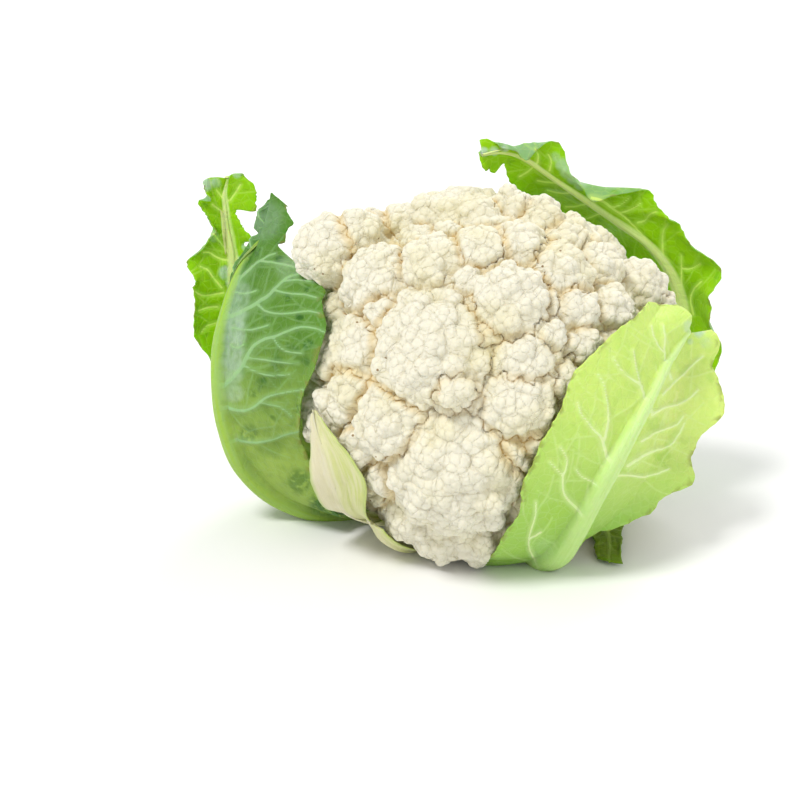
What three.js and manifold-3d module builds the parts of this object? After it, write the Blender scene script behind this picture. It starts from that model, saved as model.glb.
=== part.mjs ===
// A head of cauliflower, cut from its root and lying on a flat surface: the white curd of
// florets, the cut stem under it, five leaves and three trimmed leaf stumps.
// Millimetres, +Z up. The origin is on the surface, at the flat underside of the right leaf's
// rib, which passes under the middle of the curd and carries the head.
// +X is to the right of someone who faces the curd, and that person stands on the -Y side.
import * as THREE from "three";
import { mergeVertices } from "three/addons/utils/BufferGeometryUtils.js";
import Module from "manifold-3d";

const wasm = await Module();
wasm.setup();

// Driving dimensions
const MIDDLE = new THREE.Vector3(-7, -3, 71.5); // the middle of the curd
const SIGHT_FALL = THREE.MathUtils.degToRad(20); // the eye looks down on the head by this angle
const EYE = [-38, -11, 1100]; // the eye, as right, up and near of the middle of the curd
const GIRTH = 88; // from the middle of the curd to the leaves that hug it
const WAIST = 54; // the same, round the stem under the curd
const WAIST_FROM = 95; // degrees from the crown where the curd starts to draw in
const WAIST_TO = 150; // degrees from the crown where it has drawn in
const CURD_DETAIL = 21; // cuts along each edge of the ball that the florets are raised from
const CROWN_SHARE = 0.2; // how much closer together those cuts are at the crown
const STEM_RADIUS = 22;
const STEM_TOP = 42; // from the middle of the curd, along the stem
const STEM_CUT = 77; // from the middle of the curd to the cut end
const STEM_FLARE = 9; // how much wider the stem is where it enters the curd
const CLEAR = 0.35; // gap that touching pieces keep
const BLADE = 1.1; // thickness of a leaf blade
const LEAF_GAP = 0.8; // between the girth and a leaf

const COLOURS = {
  curd: 0xeee6d0,
  stem: 0xdfe6c2,
  lime: 0xa9cf62,
  dark: 0x4f8f45,
  bright: 0x74b01e,
  pale: 0xe2e6b4,
};

// The eye's own directions. A place is given as it is seen: millimetres right and up on the
// upright face through the middle of the curd, and millimetres nearer to the eye than that face.
const RIGHT = new THREE.Vector3(1, 0, 0);
const UP = new THREE.Vector3(0, Math.sin(SIGHT_FALL), Math.cos(SIGHT_FALL));
const NEAR = new THREE.Vector3(0, -Math.cos(SIGHT_FALL), Math.sin(SIGHT_FALL));

function turned([right, up, near]) {
  return new THREE.Vector3()
    .addScaledVector(RIGHT, right)
    .addScaledVector(UP, up)
    .addScaledVector(NEAR, near);
}

function seen([right, up, near]) {
  const closer = near / EYE[2];
  const place = [right + closer * (EYE[0] - right), up + closer * (EYE[1] - up), near];
  return turned(place).add(MIDDLE);
}

// The head's own axis, from the stem to the crown of the curd.
const AXIS = turned([0.12, 0.58, 0.8]).normalize();

// One seeded row of random numbers from 0 to 1.
function drawer(seed) {
  let state = seed;
  return () => {
    state = (state * 16807) % 2147483647;
    return state / 2147483647;
  };
}

function smoothstep(x, low, high) {
  const t = Math.min(1, Math.max(0, (x - low) / (high - low)));
  return t * t * (3 - 2 * t);
}

// How far the leaves stay from the middle of the curd, in a direction from it.
function girth(direction) {
  const fromCrown = THREE.MathUtils.radToDeg(direction.angleTo(AXIS));
  return GIRTH - (GIRTH - WAIST) * smoothstep(fromCrown, WAIST_FROM, WAIST_TO);
}

// Curd
// Florets that the eye sees: where the top is seen, right and up, half the width that shows,
// and how far the top is from the middle of the curd.
const SEEN_FLORETS = [
  [-29.7, 15.3, 30, 93], [-15.3, -6.5, 11, 91], [-50.4, 31.5, 10, 88], [-49.5, -24.8, 20, 90],
  [-17, -58, 34, 94], [21, -14, 19, 90], [22, 9, 17, 90], [31.5, 18.5, 9, 90],
  [47.3, 14.5, 11, 88], [38, -4, 12, 88], [14, 37.8, 20, 94], [-57, 50, 19, 94],
  [-81, 65, 14, 110], [-66, 70, 13, 103], [-55, 73, 11, 95], [-26.5, 56, 17, 90],
  [-30, 79, 13, 89], [-43, 76, 12, 91], [-1, 61, 15, 89], [18.5, 62.5, 14, 89],
  [-3, 78, 12, 86.5], [-14.5, 79, 11, 86], [14, 83, 12, 89], [28, 77, 12, 88],
  [37.8, 51, 17, 90], [44.6, 31.5, 13, 89], [62, 31.5, 13, 89], [57, 53, 13, 88],
  [79, 45, 14, 95], [85, 34, 12, 94], [41, 66, 12, 86], [52, 61, 10, 85],
  [-63.5, 15, 18, 88], [-66, -6, 14, 87.5], [-68, -22, 11, 86], [1, 20, 10, 86.5],
  [-8.5, 45, 10, 87], [-4, 32, 9, 86], [31, 33, 10, 87], [-1, -13.5, 9, 82],
  [14, -39, 12, 86], [9, -58, 11, 85], [22, -62, 14, 87], [8, -78, 12, 88],
  [29, -30, 14, 87], [61, 13, 12, 86.5], [75, 17, 11, 87.5], [-50, -50, 11, 87],
  [-22, -82, 17, 91], [-1, -83, 17, 91], [-39, -73, 12, 89.5], [16, -82, 11, 88],
  [-63, -36, 12, 88.5], [-76, 8, 12, 88], [-75, -14, 12, 88], [-72, 33, 11, 88],
];
const HIDDEN_TRIES = 4000; // draws for the florets that the eye doesn't see
const HIDDEN_HALVES = [18, 13, 9, 7]; // their half widths, one size after another
const HIDDEN_DROP = [1, 2, 3, 4]; // how far under the girth their tops are
const PACKING = 0.88; // how close two florets may stand, as a share of what shows of them
const SHOWS_FROM = 82; // what shows of a floret is further than this from the middle
const FLORETS_TO = 128; // degrees from the crown where the last florets are
const CORE = 81; // the curd's own body, under the florets
const GOLDEN_ANGLE = Math.PI * (3 - Math.sqrt(5));
const BUD_SHARE = 0.27; // a bud's radius as a share of its floret's half width
const BUD_SMALLEST = 5.5;
const BUD_STEP = 1.5; // between two buds, as a share of their radius
const BUD_RELIEF = 0.34; // how far the buds stand out, as a share of their radius
const MELT = 1.8; // how softly two buds run into each other

// A floret as a ball: a wider one is flatter. Its top is in the given direction.
function floret(way, half, top) {
  const level = Math.min(SHOWS_FROM, top - 5);
  const angle = half / SHOWS_FROM;
  const depth = (top ** 2 - level ** 2) / (2 * (top - level * Math.cos(angle)));
  const radius = top - depth;
  const rim = Math.atan2(level * Math.sin(angle), level * Math.cos(angle) - depth);
  return { way, half, angle, radius, rim, centre: way.clone().multiplyScalar(depth) };
}

function florets() {
  const placed = SEEN_FLORETS.map(([right, up, half, top]) => {
    const near = Math.sqrt(Math.max(0, top ** 2 - right ** 2 - up ** 2));
    return floret(seen([right, up, near]).sub(MIDDLE).normalize(), half, top);
  });
  const draw = drawer(11);
  HIDDEN_HALVES.forEach((size, pass) => {
    for (let i = 0; i < HIDDEN_TRIES; i++) {
      const height = 2 * draw() - 1;
      const turn = 2 * Math.PI * draw();
      const half = size * (0.85 + 0.3 * draw());
      const flat = Math.sqrt(1 - height * height);
      const way = new THREE.Vector3(flat * Math.cos(turn), flat * Math.sin(turn), height);
      if (THREE.MathUtils.radToDeg(way.angleTo(AXIS)) > FLORETS_TO) continue;
      const made = floret(way, half, girth(way) - HIDDEN_DROP[pass]);
      const room = (other) => other.way.angleTo(way) > PACKING * (other.angle + made.angle);
      if (placed.every(room)) placed.push(made);
    }
  });
  return placed;
}

// The buds on one floret stand in a golden-angle spiral, as they grow.
function buds({ way, half, radius, rim, centre }, draw) {
  const size = Math.max(BUD_SMALLEST, BUD_SHARE * half);
  const share = size / (radius - size);
  const cap = 1 - Math.cos(Math.min(Math.PI, rim + 0.6 * share));
  const count = Math.round((2 * Math.PI * cap) / (0.87 * (BUD_STEP * share) ** 2));
  const side = new THREE.Vector3(0, 0, 1).cross(way).normalize();
  const other = way.clone().cross(side);
  const first = 2 * Math.PI * draw();
  const made = [{ centre, radius: radius - BUD_RELIEF * size }];
  for (let i = 0; i < count; i++) {
    const lean = Math.acos(1 - (cap * (i + 0.5)) / count);
    const turn = first + i * GOLDEN_ANGLE;
    const out = new THREE.Vector3()
      .addScaledVector(way, Math.cos(lean))
      .addScaledVector(side, Math.sin(lean) * Math.cos(turn))
      .addScaledVector(other, Math.sin(lean) * Math.sin(turn));
    const own = size * (0.85 + 0.3 * draw());
    made.push({ centre: centre.clone().addScaledVector(out, radius - own), radius: own });
  }
  return made;
}

// How far out the balls reach along a direction from the middle of the curd.
function reach(balls, way) {
  let far = Math.min(CORE, girth(way) - 2);
  for (const { centre, radius } of balls) {
    const along = way.dot(centre);
    const gap = radius * radius - centre.lengthSq() + along * along;
    if (gap <= 0) continue;
    const own = along + Math.sqrt(gap);
    const near = Math.max(0, 1 - Math.abs(own - far) / MELT);
    far = Math.max(far, own) + 0.25 * MELT * near * near;
  }
  return far;
}

function curdSolid() {
  const draw = drawer(5);
  const balls = florets().flatMap((one) => buds(one, draw));
  const ball = new THREE.IcosahedronGeometry(1, CURD_DETAIL);
  const place = ball.getAttribute("position");
  const way = new THREE.Vector3();
  for (let i = 0; i < place.count; i++) {
    way.fromBufferAttribute(place, i).normalize();
    const lean = way.angleTo(AXIS);
    if (lean > 1e-3 && lean < Math.PI - 1e-3) {
      const side = way.clone().addScaledVector(AXIS, -way.dot(AXIS)).normalize();
      const drawn = lean - CROWN_SHARE * Math.sin(lean);
      way.copy(AXIS).multiplyScalar(Math.cos(drawn)).addScaledVector(side, Math.sin(drawn));
    }
    const point = way.clone().multiplyScalar(reach(balls, way)).add(MIDDLE);
    place.setXYZ(i, point.x, point.y, point.z);
  }
  return solidOf(ball);
}

// Stem
function stemSolid(grown) {
  const radius = STEM_RADIUS + grown;
  const cut = STEM_CUT + grown;
  const top = STEM_TOP - grown;
  const profile = [
    [0, -cut],
    [radius - 1.5, -cut],
    [radius, -cut + 2],
    [radius, -cut + 14],
    [radius + 0.25 * STEM_FLARE, -top - 12],
    [radius + STEM_FLARE, -top],
    [0, -top],
  ].map(([out, along]) => new THREE.Vector2(out, along));
  const lathe = new THREE.LatheGeometry(profile, 28);
  const turn = new THREE.Quaternion().setFromUnitVectors(new THREE.Vector3(0, 1, 0), AXIS);
  lathe.applyQuaternion(turn);
  lathe.translate(MIDDLE.x, MIDDLE.y, MIDDLE.z);
  return solidOf(lathe);
}

// Leaves
// A leaf has three rails from its root to its tip: the left margin, the rib and the right
// margin, each through evenly counted stations, given as they are seen. outer is 1 where the eye
// sees the leaf's outer side, with its raised rib, and -1 where it sees the inner side.
// root is where the leaf leaves the stem, from the middle of the curd, and its half width.
// rib is the rib's height and half width at the root, and belly how far each half bows out.
const ACROSS = [-1, -0.8, -0.58, -0.36, -0.18, -0.08, 0, 0.08, 0.18, 0.36, 0.58, 0.8, 1];
const ACROSS_SMALL = [-1, -0.7, -0.4, -0.15, 0, 0.15, 0.4, 0.7, 1];
const LEAVES = {
  leaf_right: {
    outer: 1, root: [68, 9], rib: [9.5, 10.5], belly: [4, -5], wave: 2.2, waves: 5, steps: 22,
    colour: COLOURS.lime, across: ACROSS,
    left: [
      [5, -71, 0], [0, -85, 20], [4.5, -70, 42], [14, -50, 62], [24, -30, 76], [34.5, -8.5, 80],
      [50.5, 15, 68], [70, 30, 49], [87, 31, 30],
    ],
    mid: [
      [16, -69, -6], [27, -80, 23], [37, -67, 43], [46.5, -51, 55], [56, -37, 61],
      [65.5, -21, 60], [76, -2, 51], [84.5, 11, 40], [90.5, 20, 31],
    ],
    right: [
      [27, -67, -8], [38, -80, 20], [53, -69, 28], [75, -62, 26], [90, -48, 24], [97, -32, 22],
      [106, -14, 17], [106, 4, 14], [100, 20, 20],
    ],
  },
  leaf_left: {
    outer: 1, root: [60, 9], rib: [8, 7], belly: [3, 7], wave: 1.6, waves: 5, steps: 26,
    colour: COLOURS.dark, across: ACROSS,
    left: [
      [-60, -50, -44], [-84, -48, -46], [-98, -36, -48], [-106, -18, -46], [-110, 2, -42],
      [-112, 20, -36], [-112, 36, -26], [-110, 48, -18], [-106, 58, -12], [-100.5, 62.5, -8],
      [-103.5, 68, -8], [-97, 75.5, -4],
    ],
    mid: [
      [-60, -58, -30], [-88, -54, -24], [-106, -40, -14], [-114, -22, -6], [-117, -4, 0],
      [-117, 14, 2], [-113, 32, 2], [-108, 47, -2], [-101.5, 56, -3], [-96, 62, -3],
      [-95, 70, -3], [-92, 79, -1],
    ],
    right: [
      [-56, -62, -16], [-66, -62, -4], [-75, -51, 4], [-80, -33, 14], [-80, -15, 31],
      [-74, 8, 49], [-71, 24, 50], [-74, 40, 40], [-86, 51, 16], [-91.5, 61, 4], [-87, 69.5, 4],
      [-88.5, 76, 1],
    ],
  },
  leaf_rear_left: {
    outer: -1, root: [68, 9], rib: [7, 7], belly: [3, 3], wave: 3, waves: 5, steps: 22,
    colour: COLOURS.bright, across: ACROSS,
    left: [
      [-52, -51, -58], [-92, -38, -56], [-117, -12, -48], [-127, 16, -40], [-131, 36, -38],
      [-132, 49, -38], [-123.5, 61, -38], [-124.5, 71, -36], [-126, 79, -32], [-126.5, 86, -29],
    ],
    mid: [
      [-50, -43, -62], [-80, -28, -62], [-99, -4, -56], [-109, 22, -50], [-112, 40, -46],
      [-112.6, 55, -43], [-114.4, 64, -41], [-115.8, 73, -39], [-116.8, 81, -36],
      [-115, 88.5, -33],
    ],
    right: [
      [-46, -33, -66], [-66, -10, -70], [-80, 12, -60], [-88, 32, -50], [-95, 46, -44],
      [-105, 59, -41], [-108.5, 66, -39], [-109, 73, -37], [-103, 81, -33], [-106, 89.5, -30],
    ],
  },
  leaf_rear_right: {
    outer: -1, root: [60, 9], rib: [8, 8], belly: [3, 3], wave: 3, waves: 6, steps: 26,
    colour: COLOURS.bright, across: ACROSS,
    left: [
      [36, -32, -66], [56, -4, -72], [69, 20, -60], [70, 36, -52], [66, 48, -46], [58, 55, -47],
      [45, 61, -50], [33, 70, -48], [20, 79, -33], [11, 89, -16], [3, 94, -8],
      [-2.5, 97, -2],
    ],
    mid: [
      [40, -42, -62], [66, -20, -60], [82, 4, -50], [88, 26, -40], [84, 43, -33], [74, 57, -28],
      [60, 67.5, -25], [44, 78.5, -21], [30, 88.5, -16], [18, 96.5, -10], [8, 99.5, -5],
      [-1, 98.5, -1],
    ],
    right: [
      [24, -46, -56], [44, -52, -56], [62, -46, -52], [79, -36, -46], [90, -25, -40],
      [98, -12, -34], [103, 2, -28], [105, 14, -22], [102.5, 26, -18], [102, 35, -16],
      [104.5, 44, -15], [98, 54, -14], [93.5, 62, -14], [87, 70, -13], [79, 71, -12],
      [74, 82, -12], [62, 81.5, -12], [49, 82.5, -12], [39, 89, -11], [32.5, 102, -8],
      [25, 104, -5], [17, 101, -3], [8, 102.5, -1], [-2, 101, 0],
    ],
  },
  leaf_rear: {
    outer: -1, root: [58, 9], rib: [6, 6], belly: [3, 3], wave: 1.5, waves: 4, steps: 14,
    colour: COLOURS.dark, across: ACROSS_SMALL,
    left: [
      [-24, -8, -76], [-42, 10, -82], [-50, 30, -77], [-46, 48, -67], [-36, 64, -56],
      [-20, 75, -48],
    ],
    mid: [
      [-10, -6, -78], [-14, 12, -92], [-16, 32, -88], [-16, 50, -79], [-14, 66, -64],
      [-12, 76, -50],
    ],
    right: [
      [6, -6, -78], [16, 12, -92], [22, 34, -84], [18, 52, -75], [8, 67, -61], [-4, 77, -49],
    ],
  },
  leaf_under_right: {
    outer: -1, root: [70, 8], rib: [4, 5], belly: [1, 1], wave: 0.8, waves: 3, steps: 12,
    colour: COLOURS.dark, across: ACROSS_SMALL,
    left: [
      [28, -42, -44], [52, -54, -34], [61, -64, -16], [61.5, -71.5, 0], [61.5, -83.5, 24],
    ],
    mid: [
      [22, -49, -44], [40, -57, -30], [51, -65, -14], [55.5, -72, 0], [56, -83, 23],
    ],
    right: [
      [20, -56, -38], [32, -64, -26], [44, -69, -10], [49.5, -74, 4], [50, -81, 18],
    ],
  },
  stub_left: {
    outer: 1, root: [56, 8], rib: [4, 8], belly: [1, 1], wave: 0.4, waves: 2, steps: 12,
    colour: COLOURS.pale, across: ACROSS_SMALL,
    left: [
      [-46, -59, -23], [-70, -60, 10], [-77, -49, 28], [-78, -37, 36], [-78, -27, 41],
      [-77.5, -19, 43],
    ],
    mid: [
      [-38, -62, -20], [-58, -60, 22], [-65, -48, 40], [-70, -34, 47], [-74, -23, 47],
      [-76, -15, 46],
    ],
    right: [
      [-33, -65, -17], [-50, -57, 38], [-52, -48, 53], [-58, -39, 56], [-65, -30, 55],
      [-73, -19, 51],
    ],
  },
  stub_front: {
    outer: 1, root: [66, 8], rib: [5, 8], belly: [1, 1], wave: 0.3, waves: 2, steps: 10,
    colour: COLOURS.pale, across: ACROSS_SMALL,
    left: [[-22, -62, -18], [-42, -71, 6], [-50, -68, 17], [-54, -62, 23]],
    mid: [[-15, -65, -14], [-33, -75, 9], [-44, -73, 22], [-50, -66, 30]],
    right: [[-8, -68, -10], [-26, -78, 12], [-38, -76, 27], [-45, -69, 37]],
  },
};

// A smooth line through evenly counted stations, at a place from 0 to 1 along it.
function along(points, t) {
  const last = points.length - 1;
  const spot = Math.min(last - 1e-9, t * last);
  const i = Math.floor(spot);
  const x = spot - i;
  const at = (k) => points[Math.min(last, Math.max(0, k))];
  const [a, b, c, d] = [at(i - 1), at(i), at(i + 1), at(i + 2)];
  return new THREE.Vector3()
    .addScaledVector(a, -0.5 * x + x * x - 0.5 * x * x * x)
    .addScaledVector(b, 1 - 2.5 * x * x + 1.5 * x * x * x)
    .addScaledVector(c, 0.5 * x + 2 * x * x - 1.5 * x * x * x)
    .addScaledVector(d, -0.5 * x * x + 0.5 * x * x * x);
}

// The rails in the part's frame, with a first station on the stem put before the others.
function rails(leaf) {
  const [left, mid, right] = ["left", "mid", "right"].map((name) => leaf[name].map(seen));
  const [height, half] = leaf.root;
  const foot = MIDDLE.clone().addScaledVector(AXIS, -height);
  const bearing = mid[0].clone().sub(foot);
  bearing.addScaledVector(AXIS, -bearing.dot(AXIS)).normalize();
  const side = AXIS.clone().cross(bearing).multiplyScalar(leaf.outer);
  const root = foot.addScaledVector(bearing, STEM_RADIUS - 6);
  left.unshift(root.clone().addScaledVector(side, -half));
  mid.unshift(root.clone());
  right.unshift(root.clone().addScaledVector(side, half));
  return { left, mid, right };
}

// A point of the leaf's inner face, before it is kept clear of the curd.
function innerFace(leaf, lines, t, s) {
  const rib = along(lines.mid, t);
  const margin = along(s < 0 ? lines.left : lines.right, t);
  const out = Math.abs(s);
  const bow = leaf.belly[s < 0 ? 0 : 1] * 4 * out * (1 - out) * smoothstep(t, 0.1, 0.4);
  const ripple = Math.sin(2 * Math.PI * leaf.waves * t + (s < 0 ? 0.6 : 2.4));
  const wave = leaf.wave * out ** 3 * smoothstep(t, 0.2, 0.45) * ripple;
  const away = rib.clone().sub(MIDDLE).normalize();
  const point = rib.lerp(margin, out).addScaledVector(away, bow + wave);
  const way = point.clone().sub(MIDDLE);
  const short = girth(way) + LEAF_GAP - way.length();
  if (short > 0) point.addScaledVector(way.normalize(), short);
  return point;
}

// The leaf as a solid, or the room that it takes, grown on every side.
function leafSolid(leaf, grown) {
  const lines = rails(leaf);
  const { across, steps } = leaf;
  const wide = across.length;
  const inner = [];
  for (let i = 0; i <= steps; i++) {
    inner.push(across.map((s) => innerFace(leaf, lines, i / steps, s)));
  }
  const innerGrown = [];
  const outerFace = inner.map((row, i) =>
    row.map((point, j) => {
      const before = inner[Math.max(0, i - 1)][j];
      const after = inner[Math.min(steps, i + 1)][j];
      const lengthways = after.clone().sub(before);
      const sideways = row[Math.min(wide - 1, j + 1)].clone().sub(row[Math.max(0, j - 1)]);
      const normal = sideways.cross(lengthways).normalize().multiplyScalar(leaf.outer);
      const t = i / steps;
      const fade = 1 - 0.85 * Math.min(1, t * 1.05);
      const middle = row[(wide - 1) / 2];
      const off = point.distanceTo(middle) / (leaf.rib[1] * fade);
      const ridge = leaf.rib[0] * fade * Math.sqrt(Math.max(0, 1 - off * off));
      const edge = 3 * grown * Math.sign(across[j]) * (Math.abs(across[j]) === 1 ? 1 : 0);
      const spread = row[wide - 1].clone().sub(row[0]).normalize().multiplyScalar(edge);
      innerGrown.push(point.clone().addScaledVector(normal, -grown).add(spread));
      return point.clone().addScaledVector(normal, BLADE + ridge + grown).add(spread);
    }),
  );
  const points = [...innerGrown, ...outerFace.flat()];
  points.forEach((point) => (point.z = Math.max(0, point.z)));
  const back = inner.flat().length;
  const at = (i, j) => i * wide + j;
  const faces = [];
  const quad = (a, b, c, d) => faces.push([a, b, c], [a, c, d]);
  for (let i = 0; i < steps; i++) {
    for (let j = 0; j < wide - 1; j++) {
      const [a, b, c, d] = [at(i, j), at(i, j + 1), at(i + 1, j + 1), at(i + 1, j)];
      quad(back + a, back + b, back + c, back + d);
      faces.push([a, c, b], [a, d, c]);
    }
    quad(at(i, 0), back + at(i, 0), back + at(i + 1, 0), at(i + 1, 0));
    const edge = wide - 1;
    quad(at(i, edge), at(i + 1, edge), back + at(i + 1, edge), back + at(i, edge));
  }
  for (let j = 0; j < wide - 1; j++) {
    quad(at(0, j), at(0, j + 1), back + at(0, j + 1), back + at(0, j));
    const [a, b] = [at(steps, j), at(steps, j + 1)];
    quad(a, back + a, back + b, b);
  }
  const geometry = new THREE.BufferGeometry();
  const flat = points.flatMap((point) => point.toArray());
  geometry.setAttribute("position", new THREE.Float32BufferAttribute(flat, 3));
  const order = leaf.outer > 0 ? faces : faces.map(([a, b, c]) => [a, c, b]);
  geometry.setIndex(order.flat());
  return solidOf(geometry);
}

// Solids and meshes
function solidOf(geometry) {
  const bare = geometry.clone();
  bare.deleteAttribute("normal");
  bare.deleteAttribute("uv");
  const merged = mergeVertices(bare, 1e-3);
  return new wasm.Manifold(
    new wasm.Mesh({
      numProp: 3,
      vertProperties: merged.getAttribute("position").array,
      triVerts: new Uint32Array(merged.index.array),
    }),
  );
}

// What of a solid is above the surface that the head lies on.
function aboveSurface(solid) {
  const below = new THREE.BoxGeometry(600, 600, 100);
  below.translate(0, 0, -50);
  return solid.subtract(solidOf(below));
}

function meshOf(name, solid, colour, roughness) {
  const { vertProperties, triVerts } = solid.getMesh();
  const geometry = new THREE.BufferGeometry();
  geometry.setAttribute("position", new THREE.BufferAttribute(vertProperties, 3));
  geometry.setIndex(new THREE.BufferAttribute(triVerts, 1));
  geometry.computeVertexNormals();
  const material = new THREE.MeshStandardMaterial({ color: colour, roughness, metalness: 0 });
  const mesh = new THREE.Mesh(geometry, material);
  mesh.name = name;
  return mesh;
}

// The head
// Where two pieces press together, the later one keeps its room and the earlier one yields.
const solids = [["stem", stemSolid(0), stemSolid(CLEAR), COLOURS.stem]];
for (const [name, leaf] of Object.entries(LEAVES)) {
  solids.push([name, leafSolid(leaf, 0), leafSolid(leaf, CLEAR), leaf.colour]);
}
solids.push(["curd", curdSolid(), null, COLOURS.curd]);

const head = new THREE.Group();
solids.forEach(([name, solid, , colour], i) => {
  const rooms = solids.slice(0, i).map(([, , room]) => room);
  const cut = rooms.reduce((left, room) => left.subtract(room), solid);
  head.add(meshOf(name, aboveSurface(cut), colour, 0.6));
});

export default head;
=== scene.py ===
import math

import bmesh
import bpy
import numpy as np
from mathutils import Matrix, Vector
from mathutils.bvhtree import BVHTree
from mathutils.kdtree import KDTree


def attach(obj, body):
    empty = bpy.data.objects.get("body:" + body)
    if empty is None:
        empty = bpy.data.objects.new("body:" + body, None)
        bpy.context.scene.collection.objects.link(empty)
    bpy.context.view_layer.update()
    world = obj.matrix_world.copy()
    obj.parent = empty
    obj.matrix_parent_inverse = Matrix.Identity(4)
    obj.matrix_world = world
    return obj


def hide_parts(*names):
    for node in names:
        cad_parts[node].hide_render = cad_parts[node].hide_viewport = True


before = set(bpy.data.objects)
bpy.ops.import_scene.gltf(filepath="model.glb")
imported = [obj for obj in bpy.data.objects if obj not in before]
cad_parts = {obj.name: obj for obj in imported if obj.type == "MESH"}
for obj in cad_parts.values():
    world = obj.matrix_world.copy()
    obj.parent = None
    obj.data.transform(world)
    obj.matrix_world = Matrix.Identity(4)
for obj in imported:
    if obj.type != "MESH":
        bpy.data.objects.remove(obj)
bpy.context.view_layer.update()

# The head's own numbers, in millimetres, as the part's source has them.
MM = 0.001
MIDDLE = np.array([-7.0, -3.0, 71.5])
SIGHT_FALL = math.radians(20)
EYE = (-38.0, -11.0, 1100.0)
SEEN_WIDTH = 360.0  # of the upright face through the middle that fills the picture
GIRTH = 88.0
WAIST = 54.0
WAIST_FROM = 95.0
WAIST_TO = 150.0
STEM_RADIUS = 22.0
STEM_TOP = 42.0
STEM_CUT = 77.0
STEM_FLARE = 9.0
BLADE = 1.1
LEAF_GAP = 0.8

# Lobes, beads and grains on the florets: millimetres apart, millimetres high, and a seed.
SWELLINGS = {"lobe": (11.0, 1.7, 3), "bead": (4.4, 0.75, 4), "grain": (2.4, 0.2, 5)}
SWELLING_TRIES = 60000
SWELLING_GAP = 0.8  # the least distance between two middles, as a share of the spacing
SWELLING_REACH = 0.62  # from a middle to where its dome has fallen by the whole height
SWELLING_LIFT = 0.45  # how far a middle stands out, as a share of the height
SWELLING_DROP = 1.15  # how far out a dome goes on falling, in reaches

# The florets that can be seen: right and up of the middle, half a width, and how far out the top is.
SEEN_FLORETS = [
    (-29.7, 15.3, 30, 93), (-15.3, -6.5, 11, 91), (-50.4, 31.5, 10, 88), (-49.5, -24.8, 20, 90),
    (-17, -58, 34, 94), (21, -14, 19, 90), (22, 9, 17, 90), (31.5, 18.5, 9, 90),
    (47.3, 14.5, 11, 88), (38, -4, 12, 88), (14, 37.8, 20, 94), (-57, 50, 19, 94),
    (-81, 65, 14, 110), (-66, 70, 13, 103), (-55, 73, 11, 95), (-26.5, 56, 17, 90),
    (-30, 79, 13, 89), (-43, 76, 12, 91), (-1, 61, 15, 89), (18.5, 62.5, 14, 89),
    (-3, 78, 12, 86.5), (-14.5, 79, 11, 86), (14, 83, 12, 89), (28, 77, 12, 88),
    (37.8, 51, 17, 90), (44.6, 31.5, 13, 89), (62, 31.5, 13, 89), (57, 53, 13, 88),
    (79, 45, 14, 95), (85, 34, 12, 94), (41, 66, 12, 86), (52, 61, 10, 85),
    (-63.5, 15, 18, 88), (-66, -6, 14, 87.5), (-68, -22, 11, 86), (1, 20, 10, 86.5),
    (-8.5, 45, 10, 87), (-4, 32, 9, 86), (31, 33, 10, 87), (-1, -13.5, 9, 82),
    (14, -39, 12, 86), (9, -58, 11, 85), (22, -62, 14, 87), (8, -78, 12, 88),
    (29, -30, 14, 87), (61, 13, 12, 86.5), (75, 17, 11, 87.5), (-50, -50, 11, 87),
    (-22, -82, 17, 91), (-1, -83, 17, 91), (-39, -73, 12, 89.5), (16, -82, 11, 88),
    (-63, -36, 12, 88.5), (-76, 8, 12, 88), (-75, -14, 12, 88), (-72, 33, 11, 88),
]
# Florets that have grown into one, by their places in the list above.
JOINED = ((4, 48, 49, 50, 51), (32, 53, 55), (33, 34, 54), (3, 52), (10, 36), (16, 17, 20, 21))
DRAW_FACTOR = 16807
DRAW_RANGE = 2147483647
FLORET_SEED = 11
BUD_SEED = 5
HIDDEN_TRIES = 4000
HIDDEN_HALVES = (18, 13, 9, 7)
HIDDEN_DROP = (1, 2, 3, 4)
PACKING = 0.88
SHOWS_FROM = 82.0
FLORETS_TO = 128.0
CORE = 81.0
GOLDEN_ANGLE = math.pi * (3 - math.sqrt(5))
BUD_SHARE = 0.27
BUD_SMALLEST = 5.5
BUD_STEP = 1.5
BUD_RELIEF = 0.34
SKIN_VOXEL = 0.7  # millimetres between the skin's points
# The skin is kept in four pieces that meet in the creases: right, up and near of each.
SKIN_PIECES = {
    "curd_left": (-0.7, -0.3, 0.6),
    "curd_right": (0.7, -0.2, 0.6),
    "curd_top": (0.0, 1.0, 0.1),
    "curd_back": (0.0, -0.2, -1.0),
}
# For each: rounds of blur that make the level around, and the depth in metres that counts as 1.
# The curd's finish paints shade in its creases and hollows by these measures.
HOLLOWS = (("crease", 40, 0.0016), ("hollow", 420, 0.006))
SEAM_DEPTH = 9.0  # how far a piece's hidden walls go in under its creases
CRACK_DEPTH = 2.6  # of the narrow cracks between florets
CRACK_WIDTH = 1.0
CRACK_NONE = 9.0
RIM_SHARE = 0.8  # how deep the wider hollow round a crack is, beside the crack
RIM_WIDTH = 1.6
LARGE_BALL = 0.0105  # metres: balls above this radius get finer facets
LARGE_CUTS = 5
SMALL_CUTS = 3
APEX_SHARE = 0.8
UNDER_LEAF = 5.0  # how far a leaf can press the skin in
LEAF_CLEAR = 0.4


def unit(v):
    return v / np.linalg.norm(v, axis=-1, keepdims=True)


RIGHT = np.array([1.0, 0.0, 0.0])
UP = np.array([0.0, math.sin(SIGHT_FALL), math.cos(SIGHT_FALL)])
NEAR = np.array([0.0, -math.cos(SIGHT_FALL), math.sin(SIGHT_FALL)])


def turned(place):
    """A way given right, up and near, in the frame's axes."""
    right, up, near = np.moveaxis(np.asarray(place, float), -1, 0)[..., None]
    return right * RIGHT + up * UP + near * NEAR


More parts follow.
